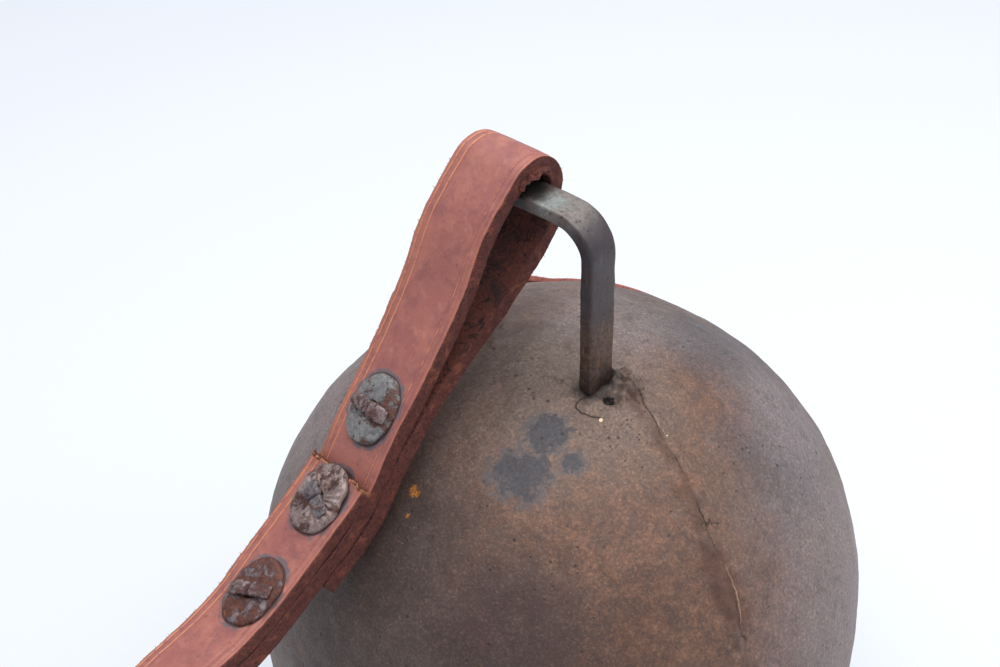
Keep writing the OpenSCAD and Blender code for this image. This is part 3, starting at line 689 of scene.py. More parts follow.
def build_bell():
    columns, rows, inner_rows = 600, 250, 40
    azimuth = bell_azimuths(columns)
    radius, height = bell_profile(rows)
    radius, height = radius[1:], height[1:]
    slope_r, slope_z = np.gradient(radius), np.gradient(height)
    run = np.hypot(slope_r, slope_z)
    normal_r, normal_z = -slope_z / run, slope_r / run
    ring = np.stack([np.cos(azimuth), np.sin(azimuth)], 1)

    def hoops(across, up):
        return np.concatenate([np.column_stack([ring * r, np.full(columns, z)]) for r, z in zip(across, up)])

    base, normal = hoops(radius, height), hoops(normal_r, normal_z)
    relief, marks = bell_relief(base)
    rim_share = step(base[:, 2], 0.0, 4.0)
    outer = base + normal * (relief * rim_share)[:, None]
    top = np.array([[0, 0, BELLY_Z + CROWN_H]])
    top_relief, _ = bell_relief(top)
    top[0, 2] += top_relief[0]

    # round the rim and go back up the inside, which is plainer
    lip = [(MOUTH_R - 0.35, -0.0), (MOUTH_R - WALL + 0.5, 0.0), (MOUTH_R - WALL, 0.5)]
    r_in, z_in = bell_profile(inner_rows, WALL)
    inside = lip + [(r, z) for r, z in zip(r_in[::-1][1:], z_in[::-1][1:]) if r > 1]
    rough_inside = []
    for r, z in inside:
        points = np.column_stack([ring * r, np.full(columns, z)])
        wave = 0.35 * noise(points, 20, 20) * step(z, 0, 6)
        points[:, :2] -= ring * np.abs(wave)[:, None]
        rough_inside.append(points)
    points = np.concatenate([top, outer] + rough_inside + [[[0, 0, BELLY_Z + CROWN_H - WALL]]])
    rings = rows - 1 + len(inside)
    faces = [(0, 1 + j, 1 + (j + 1) % columns) for j in range(columns)]
    body = turned(loft_faces(rings, columns, first=1))
    last = 1 + (rings - 1) * columns
    end = [(last + (j + 1) % columns, last + j, len(points) - 1) for j in range(columns)]
    spare = len(points) - 1 - len(base)
    marks = {k: np.concatenate([v[:1], v, np.full(spare, 40.0)]) for k, v in marks.items()}
    outside = columns * (rows - 2) + columns * 2
    index = [0] * (columns + outside) + [1] * (len(body) - outside + len(end))
    return make_piece(
        "bell_body", points, faces + body + end, [BELL_IRON, BELL_INSIDE], "bell",
        ("bell_front_shell", "bell_back_shell", "side_seam_right", "side_seam_left",
         "foot_braze_right", "foot_braze_left"), marks, index)


# Swept bars and straps

def unit(v):
    v = np.asarray(v, float)
    return v / np.linalg.norm(v, axis=-1, keepdims=True)


def spline(points, count):
    """A Catmull-Rom curve through the points, count steps for each span."""
    p = np.asarray(points, float)
    p = p[:, None] if p.ndim == 1 else p
    ends = np.concatenate([p[:1], p, p[-1:]])
    out = []
    for a, b, c, d in zip(ends[:-3], ends[1:-2], ends[2:-1], ends[3:]):
        for t in np.arange(count) / count:
            out.append(0.5 * (2 * b + (c - a) * t + (2 * a - 5 * b + 4 * c - d) * t * t
                              + (3 * b - a - 3 * c + d) * t ** 3))
    out.append(p[-1])
    return np.array(out)


def even(points, spacing, *others):
    """The same curve at even spacing, with other values carried along, and its length at each point."""
    run = np.concatenate([[0], np.cumsum(np.linalg.norm(np.diff(points, axis=0), axis=1))])
    at = np.linspace(0, run[-1], max(2, int(run[-1] / spacing) + 1))
    pick = [np.stack([np.interp(at, run, q[:, k]) for k in range(q.shape[1])], 1) for q in (points, *others)]
    return (*pick, at)


def strap_section(width, thick, corner, crease_depth=0.28):
    """Points (across, out) round a strap's section, with marks for grain, edge, flesh and creases."""
    half, top, low = width / 2, thick / 2, -thick / 2
    creases = (1.6, 4.1)
    across = sorted({round(x, 3) for x in np.arange(-half + 1.3, half - 1.2, 1.1)}
                    | {s * (half - c + d) for c in creases for s in (-1, 1)
                       for d in (-0.5, -0.2, 0, 0.2, 0.5)})
    points, edge, flesh = [], [], []

    def add(x, y, e=0.0, f=0.0):
        points.append((x, y))
        edge.append(e)
        flesh.append(f)

    for x in across:
        depth = max(hump(abs(abs(x) - (half - c)), 0.32) for c in creases)
        crown = 0.25 * (1 - (abs(x) / half) ** 4)
        add(x, top - 0.25 + crown - crease_depth * depth)
    for i in range(4):
        a = math.radians(90 - 90 * (i + 0.5) / 4)
        add(half + corner * (math.cos(a) - 1), top - 0.25 + corner * (math.sin(a) - 1), 0.1 + 0.25 * i)
    for y in np.linspace(top - 0.5 - corner, low + 0.35, max(3, int(thick))):
        add(half, y, 1)
    for x in np.linspace(half - 0.3, -half + 0.3, 14):
        add(x, low, 0.4, 1)
    for y in np.linspace(low + 0.35, top - 0.5 - corner, max(3, int(thick))):
        add(-half, y, 1)
    for i in range(4):
        a = math.radians(90 * (i + 0.5) / 4)
        add(-half - corner * (math.cos(a) - 1), top - 0.25 + corner * (math.sin(a) - 1), 0.85 - 0.25 * i)
    points = np.array(points)
    return points, {"edge": edge, "flesh": flesh, "across": points[:, 0]}


def frames(points, reference, rolls):
    """Width and outward directions along a strap; reference is the width direction or an outward one."""
    tangent = unit(np.gradient(points, axis=0))
    if reference is None:
        width = np.tile([1.0, 0, 0], (len(points), 1))
    else:
        width = np.cross(tangent, reference)
    width = unit(width - np.sum(width * tangent, 1, keepdims=True) * tangent)
    side = np.cross(width, tangent)
    angle = np.radians(rolls)
    width = np.cos(angle) * width + np.sin(angle) * side
    return width, np.cross(width, tangent)


def spikes(roots, directions, rng, length, thick):
    """Loose leather fibres: thin bent spikes that start just under the surface."""
    corner = np.array([[math.cos(a), math.sin(a)] for a in (0, 2.1, 4.2)])
    points, faces = [], []
    for root, direction in zip(roots, directions):
        grow = unit(np.array(direction) + 0.75 * rng.normal(size=3))
        bend = unit(grow + 0.8 * rng.normal(size=3))
        side = unit(np.cross(grow, (0.3, 0.5, 0.8)))
        other = np.cross(grow, side)
        reach = length * rng.uniform(0.35, 1.0)
        first = len(points)
        for centre, size in ((root - 0.25 * grow, thick), (root + grow * reach * 0.5, thick * 0.7)):
            points += [centre + size * (c * side + d * other) for c, d in corner]
        points.append(root + grow * reach * 0.5 + bend * reach * 0.5)
        faces += loft_faces(2, 3, first=first)
        faces += [(first + 3 + j, first + 3 + (j + 1) % 3, first + 6) for j in range(3)]
    return np.array(points), faces


SPAN_STEPS, RING_SPACING, LIP_HAIRS = 12, 0.9, 260


def build_strap(name, points, rolls, thick, body, replaces, leather, seed, reference=None, frayed_end=None,
                widths=None, fuzz=700, corner=1.0, cuts=(), covered=-1e9):
    """A leather strap swept along a curve, with creases, worn corners and fibrous edges."""
    extra = (reference,) if reference is not None else ()
    path, roll, *extra, along = even(
        spline(points, SPAN_STEPS), RING_SPACING, spline(rolls, SPAN_STEPS), *extra)
    w, n = frames(path, extra[0] if extra else None, roll)
    section, marks = strap_section(STRAP_W, thick, corner)
    size, rings = len(section), len(path)
    scale = np.ones(rings) if widths is None else widths(along)
    p = (path[:, None] + w[:, None] * section[None, :, :1] * scale[:, None, None]
         + n[:, None] * section[None, :, 1:])
    flat = p.reshape(-1, 3)
    out = np.repeat(n, size, axis=0)
    side = np.repeat(w, size, axis=0) * np.sign(np.tile(section[:, 0], rings))[:, None]
    edge = np.tile(marks["edge"], rings)
    flesh = np.tile(marks["flesh"], rings)
    wave = 0.22 * noise(flat, 19, seed) + 0.08 * noise(flat, 6, seed + 1)
    fibres = 0.20 * noise(flat, 3.2, seed + 2) + 0.16 * noise(flat, 1.4, seed + 3)
    flat = flat + out * (wave * (1 - 0.6 * flesh) + fibres * flesh * 0.8)[:, None]
    flat = flat + side * ((0.30 * noise(flat, 14, seed + 4) + fibres * 1.3) * np.clip(edge, 0, 1))[:, None]
    forward = unit(path[-1] - path[-2])
    fray = np.zeros(rings)
    if frayed_end is not None:
        fray = step(along, along[-1] - frayed_end, along[-1])
        across = np.column_stack([np.tile(section[:, 0], rings), np.zeros((len(flat), 2))])
        ragged = 1.1 * noise(across, 5, seed + 6) + 0.5 * noise(across, 1.7, seed + 7)
        flat = flat + forward * (np.repeat(fray, size) * ragged)[:, None]
    values = {k: np.tile(v, rings) for k, v in marks.items()}
    values["fray"] = np.repeat(fray, size) * (1 - 0.7 * values["flesh"])
    values["covered"] = step(flat[:, 1], covered + 4, covered - 4)
    values["ring"] = np.min([washer_gap(number, flat) for number in range(3)], axis=0)
    faces = turned(loft_faces(rings, size, ends=True))
    index = [0] * (len(faces) - 2) + [1] * 2
    piece = make_piece(name, flat, faces, [leather, CUT_LEATHER], body, replaces,
                       values, index)
    carve(piece, cuts)

    rng = np.random.default_rng(seed)
    cut_rows = [k for k in range(size) if 0.5 < marks["edge"][k] <= 1 and not marks["flesh"][k]
                and section[k, 1] > thick / 2 - 2.4]
    at = rng.integers(2, rings - 2, fuzz) * size + rng.choice(cut_rows, fuzz)
    hairs, hair_faces = spikes(flat[at], side[at] * 0.8 + out[at] * 0.5, rng, 1.1, 0.08)
    if frayed_end is not None:
        top_rows = [k for k in range(size) if section[k, 1] > thick / 2 - 1.3]
        lip = (rings - 1 - rng.integers(0, 2, LIP_HAIRS)) * size + rng.choice(top_rows, LIP_HAIRS)
        more, more_faces = spikes(
            flat[lip], np.tile(forward, (LIP_HAIRS, 1)) * 0.7 + out[lip] * 0.5, rng, 1.5, 0.09)
        hair_faces += [tuple(i + len(hairs) for i in f) for f in more_faces]
        hairs = np.concatenate([hairs, more])
    loose_leather(name.replace("leather", "fibres"), hairs, hair_faces, body, leather, 0.5)
    return piece


def loose_leather(name, points, faces, body, leather, fray):
    """Fibres or scraps that belong to a strap."""
    marks = {"edge": 1.0, "flesh": 0.0, "fray": fray, "ring": 50.0, "across": 0.0, "covered": 0.0}
    values = {k: np.full(len(points), v) for k, v in marks.items()}
    return make_piece(name, points, faces, [leather], body, (), values)


def prism(outline, low, high):
    """A closed upright shape over a plan outline."""
    count = len(outline)
    points = np.concatenate([np.column_stack([outline, np.full(count, z)]) for z in (low, high)])
    return points, loft_faces(2, count, ends=True)


def carve(piece, shapes):
    """Cuts closed shapes out of a piece; the new faces take its second material."""
    for points, faces in shapes:
        mesh = bpy.data.meshes.new("cutter")
        mesh.from_pydata((points * MM).tolist(), [], faces)
        for material in piece.data.materials:
            mesh.materials.append(material)
        mesh.polygons.foreach_set("material_index", [1] * len(faces))
        tool = link("cutter", mesh)
        modifier = piece.modifiers.new("cut", "BOOLEAN")
        modifier.operation, modifier.solver, modifier.object = "DIFFERENCE", "EXACT", tool
        depsgraph = bpy.context.evaluated_depsgraph_get()
        piece.data = bpy.data.meshes.new_from_object(piece.evaluated_get(depsgraph))
        piece.modifiers.clear()
        bpy.data.objects.remove(tool)


# The front collar's course, from its buckle end up to the crossbar: y, z, roll and x shift

FACE = np.array([
    (-335, 11.5, 0, 0), (-316, 12.5, 0, 0), (-296, 25, 0, 0), (-277, 52, 0, 0), (-258, 86, 1, 0),
    (-236, 118, 3, 0), (-211, 144, 6, 0), (-184, 161, 9, 0), (-158, 168, 11, 0), (-133, 173, 8, 0),
    (-112, 183.5, 5, 0), (-92, 197, 4, 0.8), (-73, 213, 4, 1.8), (-56, 231, 2, 1.6), (-41, 249, 0, 1.2),
    (-30, 266, 0, 1)], float)
BACK_PLY = ((3, 257), (-5, 248), (-15, 240.5), (-25, 233.5), (-36, 227), (-48, 219.5))
PLY_JOIN, PLY_END, TOP_END = 12, 10, 11
RING_R, AXIS_Z, PLY_GAP, GAP = 10.4, BAIL_TOP - BAR_T / 2, 0.7, 0.3
HEEL_Y, HEEL_Z, BUCKLE_R = -385.0, 7.9, 2.3
FOLD_R = BUCKLE_R + GAP + TOP_T / 2

face_points = np.column_stack([STRAP_X + FACE[:, 3], FACE[:, :2]])
LOOP_X = face_points[-1][0]
face_tangent = unit(np.array([
    face_points[min(i + 1, len(FACE) - 1)] - face_points[max(i - 1, 0)] for i in range(len(FACE))]))


def station_frame(i):
    """Width and outward directions of the visible face at station i."""
    place, run = face_points[i], face_tangent[i]
    w, n = frames(np.array([place - run, place, place + run]), None, np.full((3, 1), FACE[i, 2]))
    return w[1], n[1]


def below_face(i, depth):
    """A point under the visible face at station i."""
    return face_points[i] - station_frame(i)[1] * depth


def under_path():
    deep = TOP_T + GAP / 3 + HANGER_T / 2
    front = [below_face(i, HANGER_T / 2 if i > TOP_END else deep) for i in range(len(FACE))]
    ring = [(LOOP_X, BAIL_Y + RING_R * math.cos(a), AXIS_Z + RING_R * math.sin(a))
            for a in map(math.radians, range(135, -26, -32))]
    back = [(LOOP_X, y, z) for y, z in BACK_PLY]
    first = HANGER_T * 1.5 + PLY_GAP
    second = first + TOP_T + GAP / 3
    end = [below_face(PLY_JOIN, first), below_face(TOP_END, second), below_face(PLY_END, second)]
    end[-1] += unit(end[-2] - end[-1]) * 2
    rolls = list(FACE[:, 2]) + [0] * (len(ring) + len(back))
    rolls += [-FACE[i, 2] for i in (PLY_JOIN, TOP_END, PLY_END)]
    return np.array(front + ring + back + end), np.array(rolls, float)


def top_path():
    tail = [(STRAP_X, y, HEEL_Z - FOLD_R) for y in (-350, -362, -374)]
    tail += [(STRAP_X, HEEL_Y + FOLD_R * math.cos(a), HEEL_Z + FOLD_R * math.sin(a))
             for a in map(math.radians, range(270, 89, -45))]
    tail += [(STRAP_X, -372, HEEL_Z + FOLD_R - 0.6), (STRAP_X, -358, HEEL_Z + FOLD_R - 2.4)]
    body = [below_face(i, TOP_T / 2) for i in range(TOP_END + 1)]
    body.append(body[-1] + face_tangent[TOP_END] * 9)
    rolls = [0] * len(tail) + list(FACE[:TOP_END + 1, 2]) + [FACE[TOP_END, 2]]
    return np.array(tail + body), np.array(rolls, float)


def torn_edge():
    """Scraps of leather that hang from the loop's inner edge, just above the bail."""
    rng = np.random.default_rng(7)
    rows, around = 9, 14
    points, faces = [], []
    for angle, size in ((62, 1.0), (74, 1.5), (88, 1.2), (101, 1.7), (116, 1.2), (131, 1.0)):
        a = math.radians(angle)
        radial = np.array([0, math.cos(a), math.sin(a)])
        along = np.array([0, -math.sin(a), math.cos(a)])
        centre = np.array([LOOP_X + STRAP_W / 2 + 0.3, BAIL_Y, AXIS_Z])
        centre = centre + radial * (RING_R - 1.7 + rng.uniform(-0.4, 0.6))
        first = len(points)
        for i in range(rows):
            t = math.pi * (i + 0.5) / rows
            for j in range(around):
                b = 2 * math.pi * j / around
                points.append(centre + (1.5 * size * math.cos(t), 0, 0) + math.sin(t) * (
                    along * 1.9 * size * math.cos(b) + radial * 0.75 * math.sin(b)))
        faces += loft_faces(rows, around, first, ends=True)
    points = np.array(points)
    return points + 0.55 * shake(points, 1.7, 140), faces


def build_collar():
    points, rolls = under_path()
    build_strap("hanger_strap_leather", points, rolls, HANGER_T, "front_collar", ("under_strap",),
                COLLAR_LEATHER, 40, fuzz=1500, corner=0.5, covered=-88)
    scraps, faces = torn_edge()
    loose_leather("hanger_strap_torn_edge", scraps, faces, "front_collar", COLLAR_LEATHER, 0.0)
    points, rolls = top_path()
    slot = rounded_slot((STRAP_X, HEEL_Y + 2), SLOT_W, SLOT_LEN)
    build_strap("riveted_strap_leather", points, rolls, TOP_T, "front_collar", ("top_strap",),
                COLLAR_LEATHER, 60, frayed_end=2.5, fuzz=1100, cuts=(prism(slot, -6, 30),))
    build_keeper()


def rounded_slot(centre, width, length):
    """Plan outline of a slot with round ends, longest along Y."""
    x, y = np.cos(turns(32)), np.sin(turns(32))
    ends = np.where(y >= -1e-9, 1, -1) * (length - width) / 2
    return np.column_stack([centre[0] + x * width / 2, centre[1] + ends + y * width / 2])


SLOT_W, SLOT_LEN = 7.0, 28.0
KEEPER_AT, KEEPER_W, KEEPER_T, KEEPER_ROOM = 4, 12.0, 2.2, (13.6, -12.2, 1.5)


def build_keeper():
    """The leather loop for the billet: a creased band round both plies, lapped behind."""
    half, low, high = KEEPER_ROOM
    w, n = station_frame(KEEPER_AT)
    turn = turns(160)
    size = (half + KEEPER_T / 2, (high - low + KEEPER_T) / 2)
    ring = np.column_stack([squared(f(turn), 0.22) * r for f, r in zip((np.cos, np.sin), size)])
    ring = ring + (0, (high + low) / 2)
    normal = unit(np.column_stack([-np.gradient(ring[:, 1]), np.gradient(ring[:, 0])]))
    normal *= np.sign(np.sum(normal * (ring - ring.mean(0)), 1))[:, None]
    lap = 0.9 * (step(ring[:, 0], -6, -5.2) * step(ring[:, 0], 7, 6) * (ring[:, 1] < low))
    section, marks = strap_section(KEEPER_W, KEEPER_T * 0.9, 0.5, 0.15)
    rows = []
    for (x, z), (nx, nz), thicker in zip(ring, normal, lap):
        lift = section[:, 1] + np.where(section[:, 1] > 0, thicker, 0)
        rows.append(face_points[KEEPER_AT] + np.outer(x + nx * lift, w) + np.outer(z + nz * lift, n)
                    + np.outer(section[:, 0], face_tangent[KEEPER_AT]))
    points = np.concatenate(rows)
    points += 0.12 * shake(points, 3.5, 150)
    faces = [tuple(i % len(points) for i in f) for f in loft_faces(len(rows) + 1, len(section))]
    values = {k: np.tile(v, len(rows)) for k, v in marks.items()}
    values |= {k: np.full(len(points), v) for k, v in (("fray", 0.0), ("ring", 50.0), ("covered", 0.0))}
    make_piece("keeper_band", points, faces, [BACK_LEATHER], "front_collar",
               ("strap_keeper",), values)


# Clench washers and split rivets

RIVETS = (  # y, z, slope of the strap, roll, stack depth, turn of the clenched legs, x shift
    (-69, 217, 43.5, 4, 12.2, -3, 2.3), (-93.5, 195.9, 36.5, 5, 17.3, -30, 1.8),
    (-122.5, 177.8, 26, 6, 11.2, 22, 1.9))
WASHER_LEN, WASHER_W, WASHER_T, SHANK_R, FACE_CLEAR = 23.0, 18.0, 1.4, 2.0, 0.5


def rivet_place(number):
    """Turns local points, X across and Y up the strap with Z outwards, into the row frame."""
    y, z, slope, roll, _, _, shift = RIVETS[number]
    return (Matrix.Translation((STRAP_X + shift, y, z)) @ Matrix.Rotation(math.radians(slope), 4, "X")
            @ Matrix.Rotation(math.radians(-roll), 4, "Y"))


def placed(matrix, points):
    m = np.array(matrix)
    return np.asarray(points, float) @ m[:3, :3].T + m[:3, 3]


def washer_radius(angle):
    """Radius of an oval washer's outline, longest along the strap."""
    a, b = WASHER_W / 2, WASHER_LEN / 2
    return (np.abs(np.cos(angle) / a) ** 2.3 + np.abs(np.sin(angle) / b) ** 2.3) ** (-1 / 2.3)


def washer_gap(number, points):
    """Distance in mm outside a washer's outline, measured on the strap's face."""
    local = placed(rivet_place(number).inverted(), points)
    reach = np.hypot(local[:, 0], local[:, 1])
    gap = reach - washer_radius(np.arctan2(local[:, 1], local[:, 0]))
    return np.where(np.abs(local[:, 2]) < 4, gap, 50)


def build_washer(number, material, ribs, dish, chips):
    """A pressed washer: rounded rim, worn outline, and ribs that radiate on the ribbed one."""
    around = 120
    angle = turns(around)
    circle = np.column_stack([np.cos(angle), np.sin(angle)])
    chipped = noise(np.column_stack([circle * 9, np.zeros(around)]), 4, 70 + number)
    outline = washer_radius(angle) + chips * chipped
    levels = [(0.0, 0.35)] + [(s, 1.0) for s in np.linspace(0.06, 0.93, 16)]
    levels += [(0.975, 0.86), (1.0, 0.5), (0.985, 0.0)]
    rings = []
    for share, lift in levels:
        radius = SHANK_R + 0.15 + (outline - SHANK_R - 0.15) * share
        bulge = dish * (1 - (2 * share - 0.9) ** 2) + ribs * np.cos(21 * angle + 1.6 * np.sin(2 * angle)) * (
            step(share, 0.1, 0.4) * step(share, 1.0, 0.8))
        z = FACE_CLEAR + lift * WASHER_T + bulge * (share < 0.97) - 0.45 * step(share, 0.7, 1.0)
        rings.append(np.column_stack([circle * radius[:, None], z + 0 * radius]))
    rings.append(np.column_stack([circle * (SHANK_R + 0.15), np.full(around, FACE_CLEAR)]))
    points = np.concatenate(rings)
    points[:, 2] += (0.14 * noise(points, 3.5, 80 + number) + 0.07 * noise(points, 1.4, 83 + number)) * (
        points[:, 2] > FACE_CLEAR + 0.1)
    faces = joined(loft_faces(len(rings), around), (len(rings) - 1) * around, 0, around)
    piece = make_piece(f"washer_{number + 1}_plate", placed(rivet_place(number), points), faces, [material],
                       "front_collar", (f"washer_{number + 1}",))
    return sharp(piece, 50)


def leg_strip(reach, width, thick, tip, rise, seed):
    """One clenched leg: it comes up the hole, bends over and lies along +X with a blunt tip."""
    path = [(0.7, 0, -1.5), (0.75, 0, 0.4 + rise * 0.5), (1.3, 0, 1.2 + rise), (2.6, 0, 1.35 + rise),
            (reach * 0.6, 0, 1.1 + rise * 0.6), (reach - 0.4, 0, 0.62 + rise * 0.2), (reach, 0, 0.5)]
    curve, along = even(spline(path, 8), 0.35)
    tangent = unit(np.gradient(curve, axis=0))
    out = np.cross(tangent, (0, 1, 0))
    out = -out if out[len(out) // 2][2] < 0 else out
    around = 24
    corner = turns(around)
    share = along / along[-1]
    rings = []
    for c, n, s in zip(curve, out, share):
        half = width / 2 * (0.72 + 0.28 * step(s, 0.1, 0.35)) * (1 - (1 - tip) * step(s, 0.82, 1.0))
        y, z = half * squared(np.cos(corner), 0.55), thick / 2 * squared(np.sin(corner), 0.6)
        rings.append(c + np.outer(z, n) + np.outer(y, (0, 1, 0)))
    points = np.concatenate(rings)
    return points + 0.16 * shake(points, 2.2, seed), loft_faces(len(rings), around, ends=True)


def build_rivet(number, material, legs):
    """A split rivet: flat head under the leather, and two legs spread on the washer."""
    depth, turn = RIVETS[number][4:6]
    base = FACE_CLEAR + WASHER_T
    profile = [(0.01, -depth - 1.5), (2.5, -depth - 1.55), (4.6, -depth - 1.3), (5.5, -depth - 0.7),
               (5.3, -depth - 0.1), (SHANK_R, -depth), (SHANK_R, -depth * 0.5), (SHANK_R, base - 0.4),
               (1.2, base + 0.2), (0.01, base + 0.1)]
    around = 32
    points = revolve(profile, around)
    faces = loft_faces(len(profile), around)
    spin = Matrix.Rotation(math.radians(turn), 4, "Z")
    for k, (side, reach, width, thick, tip, rise) in enumerate(legs):
        more, quads = leg_strip(reach, width, thick, tip, rise, 90 + 10 * number + 4 * k)
        half_turn = Matrix.Rotation(0 if side > 0 else math.pi, 4, "Z")
        more = placed(spin @ half_turn, more) + (0, 0, base)
        faces += [tuple(i + len(points) for i in f) for f in quads]
        points = np.concatenate([points, more])
    piece = make_piece(f"split_rivet_{number + 1}_clenched", placed(rivet_place(number), points), faces,
                       [material], "front_collar", (f"split_rivet_{number + 1}",))
    return sharp(piece, 48)


def build_fastenings():
    build_washer(0, WASHER_GREY, 0.0, 0.12, 0.35)
    build_washer(1, WASHER_BROWN, 0.24, 0.35, 0.6)
    build_washer(2, WASHER_RUST, 0.03, 0.2, 0.6)
    build_rivet(0, RIVET_RUST, ((-1, 7.6, 4.6, 1.5, 0.9, 0.3), (1, 7.8, 4.8, 1.5, 0.85, 0.5)))
    build_rivet(1, RIVET_DARK, ((-1, 5.2, 5.4, 2.0, 0.95, 1.0), (1, 7.0, 4.6, 1.6, 0.8, 0.1)))
    build_rivet(2, RIVET_RUST, ((-1, 7.4, 4.6, 1.5, 0.8, 0.4), (1, 7.8, 4.4, 1.7, 0.9, 0.5)))


# The bail: a flat bar, worn round at its edges, bent twice

def build_bail():
    bend_x, bend_z, mid_r = BAIL_HALF - BEND_R, BAIL_TOP - BEND_R, BEND_R - BAR_T / 2
    path = [(BAIL_HALF - BAR_T / 2, z) for z in np.linspace(183.2, bend_z, 60, endpoint=False)]
    path += [(bend_x + mid_r * math.cos(a), bend_z + mid_r * math.sin(a))
             for a in np.linspace(0, math.pi / 2, 24, endpoint=False)]
    half = path + [(x, BAIL_TOP - BAR_T / 2) for x in np.linspace(bend_x, 0, 12, endpoint=False)]
    path = half + [(0, BAIL_TOP - BAR_T / 2)] + [(-x, z) for x, z in reversed(half)]
    curve = np.array([(BAIL_X + x, BAIL_Y, z) for x, z in path])
    curve, _ = even(curve, 0.9)
    tangent = unit(np.gradient(curve, axis=0))
    out = np.cross(tangent, (0, 1, 0))
    out = out * np.sign(np.sum(out * (curve - (BAIL_X, BAIL_Y, 235)), 1, keepdims=True))
    around = 56
    y = BAR_W / 2 * squared(np.cos(turns(around)), 0.16)
    z = BAR_T / 2 * squared(np.sin(turns(around)), 0.34)
    points = np.concatenate([c + np.outer(z, n) + np.outer(y, (0, 1, 0)) for c, n in zip(curve, out)])
    inward = points - np.repeat(curve, around, axis=0)
    points -= inward * (0.030 + 0.034 * noise(points, 11, 100) + 0.02 * noise(points, 4, 101))[:, None]
    faces = turned(loft_faces(len(curve), around, ends=True))
    make_piece("bail_bar", points, faces, [BAIL_IRON], "bell", ("bail",))


# Clapper: forged rod and ball in one

def build_clapper():
    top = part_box("clapper_rod")[1][2] / MM
    ball_r, ball_z, rod_r, eye_r, eye_wire = 18.0, 30.0, 4.0, 7.0, 2.2
    eye_z = top - eye_r - eye_wire
    around = 48
    profile = [(ball_r * math.sin(a), ball_z - ball_r * math.cos(a))
               for a in np.linspace(0.02, math.pi - 0.28, 34)]
    profile += [(rod_r + 0.9, ball_z + ball_r + 0.6)]
    profile += [(rod_r - 0.5 * t, ball_z + ball_r + 3 + (eye_z - eye_r - ball_z - ball_r - 3.0) * t)
                for t in np.linspace(0, 1, 60)]
    points = revolve(profile, around) + (0, BAIL_Y, 0)
    centre = np.array([0, BAIL_Y, ball_z])
    out = unit(points - centre)
    lump = -0.8 * np.abs(noise(points, 13, 110)) - 0.25 * np.abs(noise(points, 5, 111))
    points += out * np.where(points[:, 2] < ball_z + ball_r, lump, lump * 0.2)[:, None]
    faces = loft_faces(len(profile), around, ends=True)
    steps, tube = 64, 16
    ring, b = [], turns(tube)
    for a in turns(steps):
        direction = np.array([math.cos(a), 0, math.sin(a)])
        wire = eye_wire * (1 + 0.12 * math.cos(a + math.pi / 2))
        ring.append((0, BAIL_Y, eye_z) + direction * eye_r + np.outer(np.cos(b) * wire, direction)
                    + np.outer(np.sin(b) * wire, (0, 1, 0)))
    first = len(points)
    points = np.concatenate([points] + ring)
    faces += joined(loft_faces(steps, tube, first), first + (steps - 1) * tube, first, tube)
    make_piece("clapper_forged", points, faces, [CLAPPER_RUST], "clapper",
               ("clapper_rod", "clapper_ball"))


# The billet: the back strap, which lies on the crown

ON_CROWN = (  # azimuth and angle from the crown's top, in degrees
    (208, 28), (186, 23.5), (170, 28.5), (159, 38), (150.5, 45.8), (141, 52.6), (134.3, 55.2),
    (127, 55.2), (119, 56), (112.6, 57.6), (107.8, 61.5), (106, 68), (107, 77), (108.5, 86.5))
OFF_CROWN = ((-37.5, 111.5, 72), (-38.5, 113, 50), (-40, 116, 26), (-47, 128, 7), (-59, 146, 1.9),
             (-74, 167, 1.9), (-89, 188, 1.9), (-104, 209, 1.9))


def crown_reach(angle):
    """Distance from the crown's centre to its surface, at an angle from the top."""
    return ((math.sin(angle) / BELLY_R) ** FULL + (math.cos(angle) / CROWN_H) ** FULL) ** (-1 / FULL)


def build_back_strap():
    points = []
    for azimuth, polar in ON_CROWN:
        a, t = math.radians(azimuth), math.radians(polar)
        lie = crown_reach(t) + 1.5 + BACK_T / 2
        out = lie * math.sin(t)
        points.append((out * math.cos(a), out * math.sin(a), BELLY_Z + lie * math.cos(t)))
    points = np.array(points + list(OFF_CROWN), float)
    end = unit(points[-1] - points[-2])
    points = np.concatenate([points, [points[-1] + end * STRAP_W / 2]])
    fine = spline(points, SPAN_STEPS)
    outward = np.where(fine[:, 2:] > BELLY_Z, fine - (0, 0, BELLY_Z),
                       np.column_stack([fine[:, :2], 8 * (BELLY_Z - fine[:, 2])]))

    def pointed(along):
        return np.sqrt(np.clip(1 - np.clip((along - (along[-1] - 13)) / 13, 0, 0.995) ** 2, 0.01, 1))

    hole = 2.3 * np.column_stack([np.cos(turns(24)), np.sin(turns(24))])
    holes = [prism((points[-2] - end * (6 + 13 * i))[:2] + hole, -4, 12) for i in range(5)]
    leg = rounded_slot((BAIL_X - BAIL_HALF + BAR_T / 2, BAIL_Y + 6.5), 9, 31)
    build_strap("back_strap_leather", points, np.zeros(len(points)), BACK_T, "back_collar", ("back_strap",),
                BACK_LEATHER, 120, reference=outward, widths=pointed, cuts=(prism(leg, 185, 225), *holes))


def build_floor():
    size = 6.0
    mesh = bpy.data.meshes.new("floor")
    level = -0.85 * MM
    corners = [(-size, -size, level), (size, -size, level), (size, size, level), (-size, size, level)]
    mesh.from_pydata(corners, [], [(0, 1, 2, 3)])
    mesh.materials.append(floor_white())
    link("floor", mesh)


# Light and camera

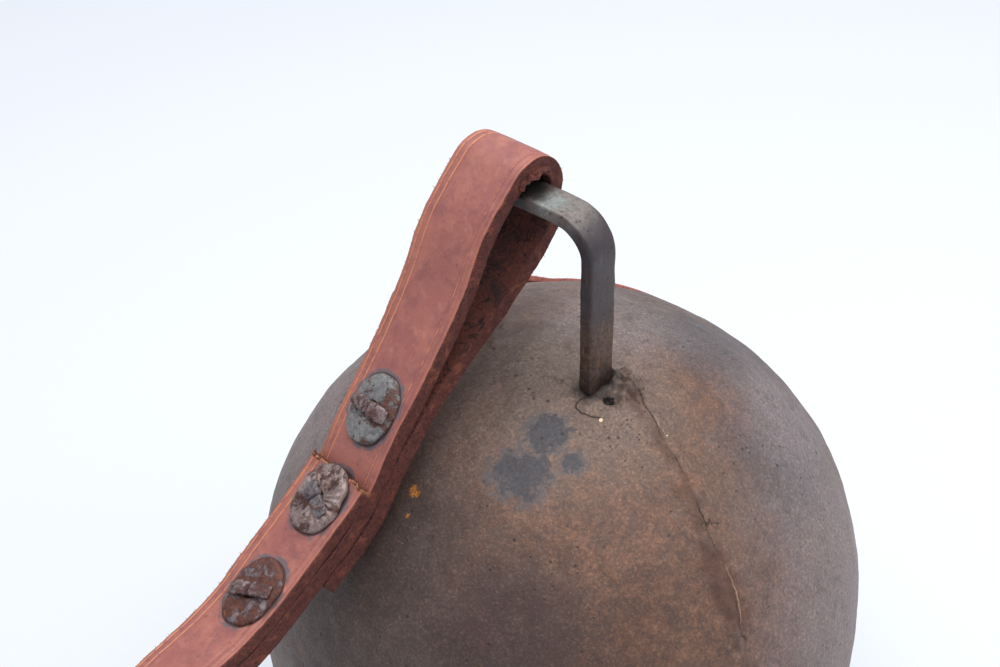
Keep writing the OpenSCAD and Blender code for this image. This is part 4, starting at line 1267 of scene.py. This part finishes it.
def area_light(name, place, aim, size, watts, tint):
    data = bpy.data.lights.new(name, "AREA")
    data.shape = "RECTANGLE"
    data.size, data.size_y = size
    data.energy = watts
    data.color = tint
    lamp = link(name, data)
    lamp.location = place
    lamp.rotation_euler = (Vector(aim) - Vector(place)).to_track_quat("-Z", "Y").to_euler()


def build_light():
    world = bpy.data.worlds.new("studio")
    world.use_nodes = True
    sky = world.node_tree.nodes["Background"]
    sky.inputs["Color"].default_value = (0.88, 0.93, 1.0, 1)
    sky.inputs["Strength"].default_value = 0.6
    bpy.context.scene.world = world
    area_light("overhead", (0.0, 0.1, 1.3), (0, -0.03, 0.15), (1.4, 1.4), 17, (1.0, 1.0, 1.0))
    area_light("right_back", (1.1, 0.7, 0.9), (0, 0, 0.15), (0.9, 0.9), 4.4, (0.96, 0.98, 1.0))
    bpy.context.scene.view_settings.view_transform = "Standard"


def build_camera():
    yaw, pitch, roll = (math.radians(a) for a in (44.193, 36.878, -1.771))
    forward = Vector((-math.sin(yaw) * math.cos(pitch), math.cos(yaw) * math.cos(pitch), -math.sin(pitch)))
    right = Vector((math.cos(yaw), math.sin(yaw), 0))
    up = right.cross(forward)
    across = right * math.cos(roll) + up * math.sin(roll)
    above = up * math.cos(roll) - right * math.sin(roll)
    data = bpy.data.cameras.new("photo_camera")
    data.lens, data.sensor_width = 50.4, 36
    data.clip_start = 0.01
    camera = link("photo_camera", data)
    turn = Matrix((across, above, -forward)).transposed().to_4x4()
    camera.matrix_world = Matrix.Translation((0.24499, -0.27958, 0.4938)) @ turn
    bpy.context.scene.camera = camera


def finish_cad_nodes():
    """Materials for the CAD nodes whose shape stays."""
    finishes = {"crown_bar": PLAIN_IRON, "clapper_staple": PLAIN_IRON, "clapper_link": CLAPPER_RUST,
                "buckle_frame": BUCKLE_IRON, "buckle_tongue": BUCKLE_IRON, "buckle_roller": BUCKLE_IRON,
                "chape_rivets": COPPER}
    for node, material in finishes.items():
        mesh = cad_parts[node].data
        mesh.materials.clear()
        mesh.materials.append(material)


build_floor()
build_bell()
build_bail()
build_collar()
build_fastenings()
build_clapper()
build_back_strap()
finish_cad_nodes()
build_light()
build_camera()
